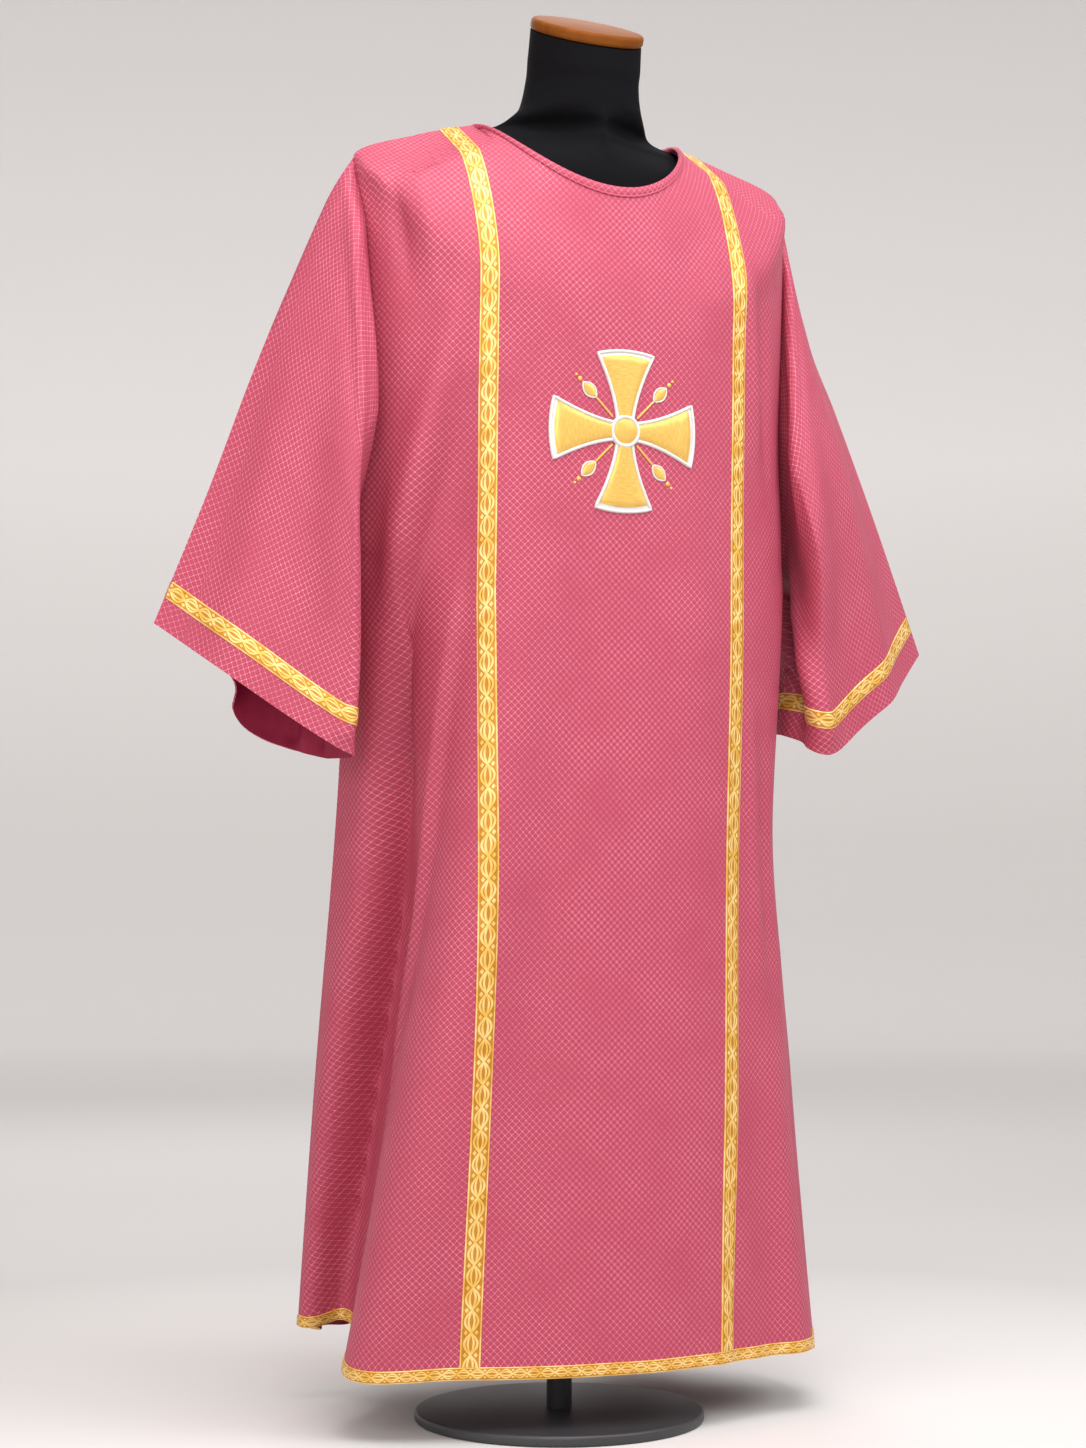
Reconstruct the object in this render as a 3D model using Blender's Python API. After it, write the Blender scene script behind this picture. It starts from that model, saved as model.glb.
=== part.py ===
"""A dalmatic on a dress form: front, back and two wide sleeves in rose brocade, gold galloon trims, a cross
applique, and the limbless form on its round base that carries it. Metres, +Z up, the front faces -Y,
the wearer's right is -X, and the origin is on the floor under the pole."""

import math

import bmesh
import bpy
import numpy as np
from mathutils import Matrix
from mathutils.bvhtree import BVHTree

# ---- driving sizes ------------------------------------------------------------------------------------
CLOTH = 0.002  # wall of the brocade with its lining
SEAM_GAP = 0.0003  # between two pieces sewn together
TRIM = 0.0012  # thickness of the galloon and of the neck binding
TRIM_LIFT = 0.0004  # from the cloth's face to the underside of what is sewn on it

BAND_MIDDLE = 0.150  # the upright galloons, from the centre line
BAND_WIDTH = 0.022
HEM_GALLOON = 0.013
BINDING_WIDTH = 0.011
CUFF_BAND = 0.019
CUFF_STRIP = 0.030  # plain cloth between the sleeve's edge and its galloon
NECK_HALF = 0.120  # half the width of the neck hole, on the shoulder
GARMENT_LENGTH = 1.30  # from the neck to the hem, down the front

TIP_LEVEL = 0.11  # the shoulder's end, as a share of the way from neckline to hem
ARMPIT_LEVEL = 0.38
ARMHOLE_STEPS = 11
SKIRT_STEPS = 15
NECK_STEPS = 6  # columns from the centre line to the side of the neck
SIDE_STEPS = 10  # columns from the galloon to the side seam
FOLD_DIP = 0.2  # how much lower a fold that swings out hangs, as a share of its swing
CREST_STEP = 7  # of the armhole's steps, where the sleeve's front and back folds start
SLEEVE_STEPS = 9

CROSS_HEIGHT = 1.076  # middle of the applique cross
CROSS_REACH = 0.086
CROSS_WAIST = 0.009  # half the width of an arm at the middle of the cross
CROSS_END = 0.033  # half the width of an arm at its end
CROSS_EDGE = 0.0045  # silver left showing round the gold

POLE_BACK = 0.035  # the pole stands this far behind the shoulder seams
POLE_RADIUS = 0.014
BASE_RADIUS = 0.160
BASE_THICK = 0.012
CAP_RADIUS = 0.0635
CAP_THICK = 0.014
CAP_MIDDLE = (0.0, -0.038, 1.534)
CAP_TILT = math.radians(24)
FORM_POINTS = 28


def table(columns, *rows):
    """Named columns, with a row for each section or fold."""
    return {name: [row[i] for row in rows] for i, name in enumerate(columns.split())}


# The rings of the body, from the neckline (level 0) to the hem (level 1). Each has a front and a back middle
# and a right and a left side point, says how square its front and back are, and how far round (degrees) they
# turn before they meet the side. The side points run down the shoulder seam, the armhole (which opens to the
# front and the back of them) and the side seam.
BODY = table(
    "level front_y front_z back_y back_z right_x right_y right_z left_x left_y left_z open "
    "front_square back_square turn",
    (0.00, -0.120, 1.342, 0.085, 1.432, 0.120, 0.000, 1.425, 0.120, 0.000, 1.425, 0.000, 2.0, 2.0, 90),
    (0.055, -0.130, 1.272, 0.112, 1.380, 0.190, 0.000, 1.406, 0.190, 0.000, 1.406, 0.000, 2.1, 2.1, 90),
    (0.11, -0.133, 1.200, 0.132, 1.320, 0.262, 0.000, 1.373, 0.262, 0.000, 1.373, 0.000, 2.2, 2.2, 86),
    (0.17, -0.131, 1.125, 0.147, 1.245, 0.256, 0.018, 1.292, 0.254, 0.018, 1.292, 0.066, 2.3, 2.3, 66),
    (0.27, -0.126, 1.000, 0.159, 1.110, 0.251, 0.032, 1.140, 0.248, 0.033, 1.140, 0.092, 2.4, 2.3, 62),
    (0.34, -0.123, 0.912, 0.163, 1.010, 0.252, 0.042, 1.010, 0.256, 0.042, 1.010, 0.066, 2.4, 2.2, 64),
    (0.365, -0.1225, 0.880, 0.166, 0.975, 0.251, 0.045, 0.968, 0.258, 0.044, 0.968, 0.043, 2.4, 2.1, 66),
    (0.38, -0.122, 0.860, 0.167, 0.955, 0.250, 0.046, 0.955, 0.259, 0.044, 0.955, 0.000, 2.4, 2.1, 68),
    (0.55, -0.114, 0.641, 0.187, 0.715, 0.244, 0.080, 0.724, 0.260, 0.060, 0.720, 0.000, 2.4, 2.0, 84),
    (0.78, -0.102, 0.346, 0.238, 0.380, 0.241, 0.155, 0.400, 0.293, 0.092, 0.385, 0.000, 2.8, 2.0, 90),
    (1.00, -0.088, 0.068, 0.305, 0.075, 0.233, 0.235, 0.090, 0.333, 0.125, 0.066, 0.000, 3.0, 2.2, 90),
)

# Soft folds of the body: where each lies on its half ring, from the centre line (0) to the side seam (1),
# at its top and at the hem, how wide it is there, and how far the hem swings out (+) or in (-).
FOLDS = table(
    "panel half top top_at hem_at width swing",
    ("front", "right", 0.20, 0.34, 0.51, 0.13, 0.048),
    ("front", "right", 0.16, 0.55, 0.79, 0.11, -0.045),
    ("front", "left", 0.40, 0.50, 0.48, 0.11, -0.012),
    ("front", "left", 0.40, 0.72, 0.66, 0.10, 0.003),
    ("back", "right", 0.12, 0.60, 0.76, 0.10, 0.012),
    ("back", "right", 0.12, 0.42, 0.58, 0.10, -0.028),
    ("back", "right", 0.16, 0.22, 0.34, 0.10, 0.026),
    ("back", "left", 0.14, 0.18, 0.28, 0.10, -0.024),
    ("back", "left", 0.12, 0.42, 0.52, 0.11, 0.030),
    ("back", "left", 0.20, 0.66, 0.76, 0.11, -0.030),
)

# The sleeve's edge at the cuff, from its top ridge (turn 0) round the front fold (0.64), the underside (1)
# and the back fold (1.36) to the ridge again (2). x is away from the body.
CUFF = {
    "right": table(
        "turn x y z",
        (0.00, 0.472, 0.030, 0.865),
        (0.32, 0.392, -0.050, 0.792),
        (0.64, 0.300, -0.090, 0.724),
        (0.82, 0.281, -0.060, 0.718),
        (1.00, 0.282, 0.000, 0.722),
        (1.18, 0.296, 0.060, 0.736),
        (1.36, 0.335, 0.118, 0.766),
        (1.68, 0.415, 0.102, 0.818),
        (2.00, 0.472, 0.030, 0.865),
    ),
    "left": table(
        "turn x y z",
        (0.00, 0.470, 0.030, 0.860),
        (0.32, 0.382, -0.032, 0.793),
        (0.64, 0.290, -0.062, 0.736),
        (0.82, 0.266, -0.040, 0.748),
        (1.00, 0.272, 0.020, 0.762),
        (1.18, 0.290, 0.070, 0.764),
        (1.36, 0.330, 0.118, 0.776),
        (1.68, 0.412, 0.100, 0.820),
        (2.00, 0.470, 0.030, 0.860),
    ),
}
# How far the sleeve swells out between armhole and cuff, at shares of the way: its front and its back, then
# away from the body its top ridge, its front and back folds (right and left) and its underside.
SWELL = table(
    "way front_y back_y right_x left_x right_fold left_fold under_x",
    (0.00, 0.000, 0.000, 0.000, 0.000, 0.000, 0.000, 0.000),
    (0.05, -0.018, 0.016, 0.006, 0.005, 0.016, 0.007, 0.011),
    (0.10, -0.024, 0.024, 0.009, -0.010, 0.024, 0.005, 0.016),
    (0.22, -0.030, 0.032, 0.010, -0.026, 0.030, 0.002, 0.019),
    (0.33, -0.030, 0.035, 0.010, -0.026, 0.028, 0.007, 0.019),
    (0.45, -0.026, 0.034, 0.009, -0.014, 0.022, 0.011, 0.016),
    (0.75, -0.010, 0.018, 0.002, -0.005, 0.008, 0.005, 0.008),
    (1.00, 0.000, 0.000, 0.000, 0.000, 0.000, 0.000, 0.000),
)

# The dress form, from its underside to the top of its neck: rings with a middle, a half width, a reach to the
# front and to the back, how square they are, and how steeply they lean forward.
FORM = table(
    "z middle_y half_x front back square lean",
    (0.660, 0.035, 0.135, 0.085, 0.090, 2.2, 0.00),
    (0.668, 0.035, 0.152, 0.098, 0.106, 2.2, 0.00),
    (0.700, 0.035, 0.163, 0.106, 0.118, 2.2, 0.00),
    (0.800, 0.034, 0.168, 0.108, 0.120, 2.2, 0.00),
    (0.950, 0.028, 0.150, 0.096, 0.096, 2.2, 0.00),
    (1.080, 0.020, 0.165, 0.110, 0.104, 2.2, 0.00),
    (1.200, 0.014, 0.182, 0.117, 0.112, 2.2, 0.00),
    (1.280, 0.010, 0.196, 0.112, 0.110, 2.1, 0.00),
    (1.340, 0.004, 0.207, 0.100, 0.100, 1.8, 0.00),
    (1.375, 0.000, 0.207, 0.093, 0.088, 1.5, 0.00),
    (1.392, 0.000, 0.2055, 0.090, 0.080, 1.1, 0.00),
    (1.400, 0.000, 0.201, 0.088, 0.075, 0.95, 0.00),
    (1.405, 0.000, 0.1885, 0.087, 0.072, 0.9, 0.00),
    (1.412, 0.000, 0.1652, 0.086, 0.069, 0.9, 0.00),
    (1.4185, -0.002, 0.1320, 0.082, 0.067, 0.9, 0.00),
    (1.427, -0.006, 0.098, 0.079, 0.066, 1.0, 0.02),
    (1.437, -0.014, 0.083, 0.072, 0.064, 1.5, 0.05),
    (1.450, -0.020, 0.070, 0.067, 0.066, 2.0, 0.08),
    (1.475, -0.025, 0.065, 0.065, 0.065, 2.0, 0.18),
    (1.503, -0.031, 0.063, 0.063, 0.063, 2.0, 0.32),
    (1.5275, -0.0351, 0.0625, 0.0625, 0.0625, 2.0, 0.4189),
)


def smooth(at, knots, values):
    """Values between a table's rows, on a curve that doesn't overshoot them."""
    knots, values = np.asarray(knots, float), np.asarray(values, float)
    step = np.diff(knots)
    slope = np.diff(values) / step
    product, total = slope[1:] * slope[:-1], slope[1:] + slope[:-1]
    inner = np.where(product > 0, 2 * product / np.where(total == 0, 1, total), 0)
    tangent = np.concatenate(([slope[0]], inner, [slope[-1]]))
    i = np.clip(np.searchsorted(knots, at) - 1, 0, len(step) - 1)
    t = np.clip((at - knots[i]) / step[i], 0, 1)
    rise = values[i] * (1 + 2 * t) * (1 - t) ** 2 + values[i + 1] * t * t * (3 - 2 * t)
    bend = tangent[i] * t * (1 - t) ** 2 + tangent[i + 1] * t * t * (t - 1)
    return rise + bend * step[i]


def body_at(level, column):
    return float(smooth(level, BODY["level"], BODY[column]))


def arc_share(points):
    """How far along a row each of its points is, from 0 to 1."""
    run = np.concatenate(([0], np.cumsum(np.linalg.norm(np.diff(points, axis=0), axis=1))))
    return run / run[-1]


def fold_swing(panel, half, level, share):
    """How far the folds push this row out, at shares of its half."""
    out = np.zeros(len(share))
    rows = zip(*(FOLDS[name] for name in ("panel", "half", "top", "top_at", "hem_at", "width", "swing")))
    for on_panel, on_half, top, top_at, hem_at, width, swing in rows:
        if (on_panel, on_half) != (panel, half) or level <= top:
            continue
        down = (level - top) / (1 - top)
        place = top_at + (hem_at - top_at) * down
        out += swing * down**1.15 * np.exp(-(((share - place) / width) ** 2))
    calm = np.clip(np.minimum(share / 0.15, (1 - share) / 0.10), 0, 1)
    return out * calm * calm * (3 - 2 * calm)


def half_row(panel, half, level, count=90):
    """Points of one half of a ring, from the panel's middle to its side edge."""
    side = -1 if half == "right" else 1
    middle_y, middle_z = body_at(level, panel + "_y"), body_at(level, panel + "_z")
    edge_x, edge_z = body_at(level, half + "_x"), body_at(level, half + "_z")
    apart = -1 if panel == "front" else 1
    edge_y = body_at(level, half + "_y") + apart * body_at(level, "open")
    square = 2 / body_at(level, panel + "_square")
    angle = np.linspace(0, math.radians(body_at(level, "turn")), count)
    across, along = np.sin(angle) ** square, np.abs(np.cos(angle)) ** square
    across, along = across / across[-1], (along - along[-1]) / (1 - along[-1])
    roll = along ** (1.7 - 0.7 * min(1, level / 0.3))
    points = np.stack(
        [side * edge_x * across, edge_y + (middle_y - edge_y) * along, edge_z + (middle_z - edge_z) * roll],
        axis=1,
    )
    share = arc_share(points)
    even = np.linspace(0, 1, count)
    points = np.stack([np.interp(even, share, points[:, k]) for k in range(3)], axis=1)
    tangent = np.gradient(points, axis=0)
    outward = np.stack([tangent[:, 1], -tangent[:, 0], np.zeros(count)], axis=1)
    outward /= np.linalg.norm(outward, axis=1)[:, None]
    outward *= side if panel == "front" else -side
    swing = fold_swing(panel, half, level, even)
    points += outward * swing[:, None]
    points[:, 2] -= FOLD_DIP * np.maximum(swing, 0)
    return points


def at_share(row, share):
    even = np.linspace(0, 1, len(row))
    return np.array([np.interp(share, even, row[:, k]) for k in range(3)])


def share_at_x(row, x):
    """The share of a half row where it crosses x."""
    reach = np.maximum.accumulate(np.abs(row[:, 0]))
    return float(np.interp(x, reach, np.linspace(0, 1, len(row))))


def stepped(levels, points, start):
    """A column's points, evenly apart down the armhole's depth and then down the skirt, with a row for the
    binding's edge and one for the top of the hem galloon."""
    run = np.concatenate(([0], np.cumsum(np.linalg.norm(np.diff(points, axis=0), axis=1))))
    share = (ARMPIT_LEVEL - TIP_LEVEL) / (1 - TIP_LEVEL)
    armpit = np.interp(start + (1 - start) * share, levels, run)
    upper = np.linspace(BINDING_WIDTH, armpit, ARMHOLE_STEPS)
    lower = np.linspace(armpit, run[-1], SKIRT_STEPS + 1)[1:-1]
    marks = np.concatenate(([0], upper, lower, [run[-1] - HEM_GALLOON, run[-1]]))
    return np.stack([np.interp(marks, run, points[:, k]) for k in range(3)], axis=1)


def half_panel(panel, half):
    """Grid of points, columns from the centre line to the side seam and rows from neckline or shoulder to hem."""
    inner, outer = BAND_MIDDLE - BAND_WIDTH / 2, BAND_MIDDLE + BAND_WIDTH / 2
    levels = np.linspace(0, 1, 150) ** 1.5
    rows = [half_row(panel, half, level) for level in levels]
    seam_x = [body_at(level, half + "_x") for level in np.linspace(0, TIP_LEVEL, 60)]

    def column(start, share_of):
        top = half_row(panel, half, start)
        kept = [(level, row) for level, row in zip(levels, rows) if level > start + 0.002]
        points = [top[-1] if start > 0 else at_share(top, share_of(start, top))]
        points += [at_share(row, share_of(level, row)) for level, row in kept]
        return stepped(np.array([start] + [level for level, _row in kept]), np.array(points), start)

    columns = []
    for step in range(NECK_STEPS + 1):
        neck_x = NECK_HALF * math.sin(math.pi / 2 * step / NECK_STEPS)
        low_x = inner * step / (NECK_STEPS + 1)

        def by_neck(level, row, neck_x=neck_x, low_x=low_x):
            settle = min(1.0, level / 0.30)
            x = neck_x + (low_x - neck_x) * settle * settle * (3 - 2 * settle)
            return 1.0 if level == 0 and neck_x == NECK_HALF else share_at_x(row, x)

        columns.append(column(0.0, by_neck))
    shoulder = seam_x[-1] - outer
    for step in range(-1, SIDE_STEPS + 1):
        part = max(0, step) / SIDE_STEPS
        x = inner if step < 0 else outer + shoulder * part
        start = float(np.interp(x, seam_x, np.linspace(0, TIP_LEVEL, 60)))

        def by_seam(level, row, part=part, x=x):
            near = share_at_x(row, min(x, outer))
            lower = min(1, max(0, (level - TIP_LEVEL) / (0.32 - TIP_LEVEL)))
            lower *= lower * (3 - 2 * lower)
            reach = x if level < TIP_LEVEL else outer + (abs(row[-1, 0]) - outer) * part
            upright = share_at_x(row, reach if part else min(x, outer))
            return upright + (near + (1 - near) * part - upright) * lower

        columns.append(column(start, by_seam))
    return np.array(columns).transpose(1, 0, 2)


def panel_grid(panel):
    """The whole panel, columns from the right side seam to the left one."""
    right, left = half_panel(panel, "right"), half_panel(panel, "left")
    return np.concatenate([right[:, ::-1], left[:, 1:]], axis=1)


def sew(front, back):
    """Give the back panel the front's very points along the shoulder seams and the side seams."""
    neck = SIDE_STEPS + 3
    back[0, :neck], back[0, -neck:] = front[0, :neck], front[0, -neck:]
    for edge in (0, -1):
        back[ARMHOLE_STEPS:, edge] = front[ARMHOLE_STEPS:, edge]


def cuff_ring(half):
    """The sleeve's edge, from the top ridge round the front, the underside and the back."""
    side = -1 if half == "right" else 1
    quarters = (0.0, 0.64, 1.0, 1.36, 2.0)
    steps = (0, CREST_STEP, ARMHOLE_STEPS, 2 * ARMHOLE_STEPS - CREST_STEP, 2 * ARMHOLE_STEPS)
    turn = np.interp(np.arange(2 * ARMHOLE_STEPS), steps, quarters)
    ring = [[float(smooth(at, CUFF[half]["turn"], CUFF[half][name])) for name in "xyz"] for at in turn]
    return np.array(ring) * (side, 1, 1)


def sleeve_grid(half, front, back):
    """Rows from the armhole to the cuff. front and back are the panels' armhole edges, from the shoulder down."""
    armhole = np.concatenate([front[:-1], back[:0:-1]])
    cuff = cuff_ring(half)
    side = -1 if half == "right" else 1
    count = len(armhole)
    facing = np.interp(
        np.arange(count),
        [0, CREST_STEP, ARMHOLE_STEPS, count - CREST_STEP, count],
        [0.0, 1.0, 0.0, -1.0, 0.0],
    )
    upper = (1 + np.cos(np.arange(count) / count * 2 * math.pi)) / 2
    length = np.linalg.norm(cuff - armhole, axis=1)
    band_top = 1 - (CUFF_STRIP + CUFF_BAND) / length
    band_low = 1 - CUFF_STRIP / length
    share = np.linspace(0, 1, SLEEVE_STEPS + 1) ** 1.15
    ways = [band_top * step for step in share] + [band_low, np.ones(count)]
    rows = []
    for way in ways:
        swell_y = np.where(
            facing > 0,
            smooth(way, SWELL["way"], SWELL["front_y"]),
            smooth(way, SWELL["way"], SWELL["back_y"]),
        )
        row = armhole + (cuff - armhole) * way[:, None]
        fold = np.abs(np.sin(facing * math.pi / 2))
        row[:, 1] += swell_y * fold
        out = smooth(way, SWELL["way"], SWELL[half + "_x"]) * upper
        out += smooth(way, SWELL["way"], SWELL["under_x"]) * (1 - upper)
        out += (smooth(way, SWELL["way"], SWELL[half + "_fold"]) - out) * fold * fold
        row[:, 0] += side * out
        rows.append(row)
    return np.array(rows)


# ---- turning grids of points into walls of cloth --------------------------------------------------------
class Cloth:
    """A sheet as a grid of points: a ring, or open at both sides. Its cells run so that they face outward, and
    from the column called split on their diagonals lean the other way."""

    def __init__(self, grid, ring=False, flip=False, split=1000):
        self.grid, self.ring, self.flip, self.split = grid, ring, flip, split
        self.normals = None

    def corners(self, row, column):
        right = (column + 1) % self.grid.shape[1]
        found = [(row, column), (row + 1, column), (row + 1, right), (row, right)]
        if column >= self.split:
            found = found[1:] + found[:1]
        return [found[0]] + found[:0:-1] if self.flip else found

    def spans(self):
        rows, columns = self.grid.shape[:2]
        return range(rows - 1), range(columns if self.ring else columns - 1)

    def cells(self, rows=None, columns=None, pulled=""):
        """Cells of some of its rows and columns, as lists of (point, outward normal). The pulled sides (top,
        bottom, left, right) move in by half of a seam's gap."""
        rows, columns = rows or self.spans()[0], columns or self.spans()[1]
        moved = self.grid.copy()
        edges = {
            "t": (np.s_[rows[0]], np.s_[rows[0] + 1]),
            "b": (np.s_[rows[-1] + 1], np.s_[rows[-1]]),
            "l": (np.s_[:, columns[0]], np.s_[:, columns[0] + 1]),
            "r": (np.s_[:, (columns[-1] + 1) % moved.shape[1]], np.s_[:, columns[-1]]),
        }
        for side in pulled:
            edge, beside = edges[side]
            step = moved[beside] - moved[edge]
            moved[edge] += step / np.linalg.norm(step, axis=-1)[..., None] * SEAM_GAP / 2
        return [[(moved[at], self.normals[at]) for at in self.corners(r, c)] for r in rows for c in columns]


def key(point):
    return tuple(np.round(point * 1e5).astype(int))


def share_normals(sheets):
    """Outward normals of all the sheets. Where panels meet, or a sleeve meets panels, a point's normal is
    midway between theirs."""
    total = {True: {}, False: {}}
    for sheet in sheets:
        own = {}
        rows, columns = sheet.spans()
        for row in rows:
            for column in columns:
                a, b, c, d = (sheet.grid[at] for at in sheet.corners(row, column))
                normal = np.cross(c - a, d - b)
                for point in (a, b, c, d):
                    own[key(point)] = own.get(key(point), 0) + normal
        found = total[sheet.ring]
        for at, normal in own.items():
            found[at] = found.get(at, 0) + normal / np.linalg.norm(normal)

    def between(at):
        kinds = [found[at] for found in total.values() if at in found]
        normal = sum(kind / np.linalg.norm(kind) for kind in kinds)
        return normal / np.linalg.norm(normal)

    for sheet in sheets:
        sheet.normals = np.array([[between(key(point)) for point in row] for row in sheet.grid])


def slab(name, cells, low, high):
    """A closed wall over cells: its corners moved along their normals to low and to high, joined round the
    open edges. Cells have three or four corners, run so that they face outward."""
    found, points, faces, edges = {}, [], [], set()

    def index(point, normal):
        if key(point) not in found:
            found[key(point)] = len(points) // 2
            points.extend([point + normal * high, point + normal * low])
        return found[key(point)]

    for cell in cells:
        corners = [index(point, normal) for point, normal in cell]
        for second, third in zip(corners[1:], corners[2:]):
            triangle = (corners[0], second, third)
            faces.append([2 * i for i in triangle])
            faces.append([2 * i + 1 for i in triangle[::-1]])
        edges.update(zip(corners, corners[1:] + corners[:1]))
    for a, b in sorted(edges):
        if (b, a) in edges:
            continue
        if points[2 * a][2] < points[2 * b][2]:
            faces += [(2 * a, 2 * a + 1, 2 * b + 1), (2 * a, 2 * b + 1, 2 * b)]
        else:
            faces += [(2 * a, 2 * a + 1, 2 * b), (2 * a + 1, 2 * b + 1, 2 * b)]
    mesh = bpy.data.meshes.new(name)
    mesh.from_pydata([tuple(point) for point in points], [], faces)
    mesh.shade_smooth()
    mesh.set_sharp_from_angle(angle=math.radians(40))
    return mesh


def add(name, mesh, material):
    mesh.transform(Matrix.Translation((0, -POLE_BACK, 0)))
    obj = bpy.data.objects.new(name, mesh)
    bpy.context.scene.collection.objects.link(obj)
    mesh.materials.append(material)
    return obj


def finish(name, colour, rough, metal=0.0):
    """A material by its colour, roughness and metallic value."""
    material = bpy.data.materials.new(name)
    material.use_nodes = True
    shader = material.node_tree.nodes["Principled BSDF"]
    shader.inputs["Base Color"].default_value = (*colour, 1)
    shader.inputs["Roughness"].default_value = rough
    shader.inputs["Metallic"].default_value = metal
    return material


def lathe(name, profile, points, place=None):
    """A closed body of revolution, from its underside up."""
    bm = bmesh.new()
    rings = []
    for radius, height in profile:
        turns = [2 * math.pi * i / points for i in range(points)]
        rings.append([bm.verts.new((radius * math.cos(t), radius * math.sin(t), height)) for t in turns])
    close_rings(bm, rings)
    mesh = bpy.data.meshes.new(name)
    bm.to_mesh(mesh)
    bm.free()
    if place is not None:
        mesh.transform(place)
    return mesh


def close_rings(bm, rings):
    """Faces between rings of vertices, and over the two ends."""
    for low, high in zip(rings, rings[1:]):
        for i in range(len(low)):
            j = (i + 1) % len(low)
            bm.faces.new((low[i], low[j], high[j], high[i]))
    bm.faces.new(rings[0][::-1])
    bm.faces.new(rings[-1])


def form_mesh():
    """The dress form with its neck, in rings."""
    bm = bmesh.new()
    rings = []
    for z, middle, half_x, front, back, square, lean in zip(*FORM.values()):
        ring = []
        for i in range(FORM_POINTS):
            turn = 2 * math.pi * i / FORM_POINTS
            across, along = math.cos(turn), math.sin(turn)
            x = math.copysign(abs(across) ** (2 / square), across) * half_x
            y = math.copysign(abs(along) ** (2 / square), along) * (back if along > 0 else front)
            ring.append(bm.verts.new((x, middle + y * math.cos(lean), z + y * math.sin(lean))))
        rings.append(ring)
    close_rings(bm, rings)
    mesh = bpy.data.meshes.new("form_torso")
    bm.to_mesh(mesh)
    bm.free()
    return mesh


def cross_grid(reach, waist, end):
    """Cells of a flat cross with flared arms, as lists of four corners from its middle."""
    cells = []
    marks = np.linspace(-1, 1, 4)
    runs = np.linspace(0, 1, 6)
    for turn in range(4):
        c, s = (1, 0, -1, 0)[turn], (0, 1, 0, -1)[turn]

        def corner(run, mark):
            along = waist + (reach - waist) * run - 0.004 * run * mark * mark
            across = mark * (waist + (end - waist) * run**1.6)
            return along * c - across * s, along * s + across * c

        for low, high in zip(runs, runs[1:]):
            for left, right in zip(marks, marks[1:]):
                cells.append([corner(low, left), corner(high, left), corner(high, right), corner(low, right)])
    for low, high in zip(marks, marks[1:]):
        for left, right in zip(marks, marks[1:]):
            square = [(low, left), (high, left), (high, right), (low, right)]
            cells.append([(waist * u, waist * v) for u, v in square])
    return cells


def on_skin(cells, sheet):
    """Flat cells laid on a sheet's outer face, their corners found along Y."""
    skin = sheet.grid + sheet.normals * CLOTH / 2
    columns = skin.shape[1]
    faces = []
    for row in sheet.spans()[0]:
        for column in sheet.spans()[1]:
            a, b, c, d = (r * columns + k for r, k in sheet.corners(row, column))
            faces += [(a, b, c), (a, c, d)]
    tree = BVHTree.FromPolygons(skin.reshape(-1, 3).tolist(), faces)

    def laid(u, v):
        spot, normal, _face, _far = tree.ray_cast((u, -1.0, CROSS_HEIGHT + v), (0, 1, 0))
        return np.array(spot), np.array(normal)

    return [[laid(u, v) for u, v in cell] for cell in cells]


def neck_cells(front, back, middle):
    """The binding's cells: a row under the neckline, with a three-cornered one on each side of each shoulder."""
    cells = []
    for sheet in (front, back):
        cells += sheet.cells(range(1), range(middle - NECK_STEPS, middle + NECK_STEPS))
        for side in (-1, 1):
            neck, seam = middle + side * NECK_STEPS, middle + side * (NECK_STEPS + 1)
            corners = [(0, neck), (1, neck), (0, seam)]
            if (side < 0) != sheet.flip:
                corners = corners[::-1]
            cells.append([(sheet.grid[at], sheet.normals[at]) for at in corners])
    return cells


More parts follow.
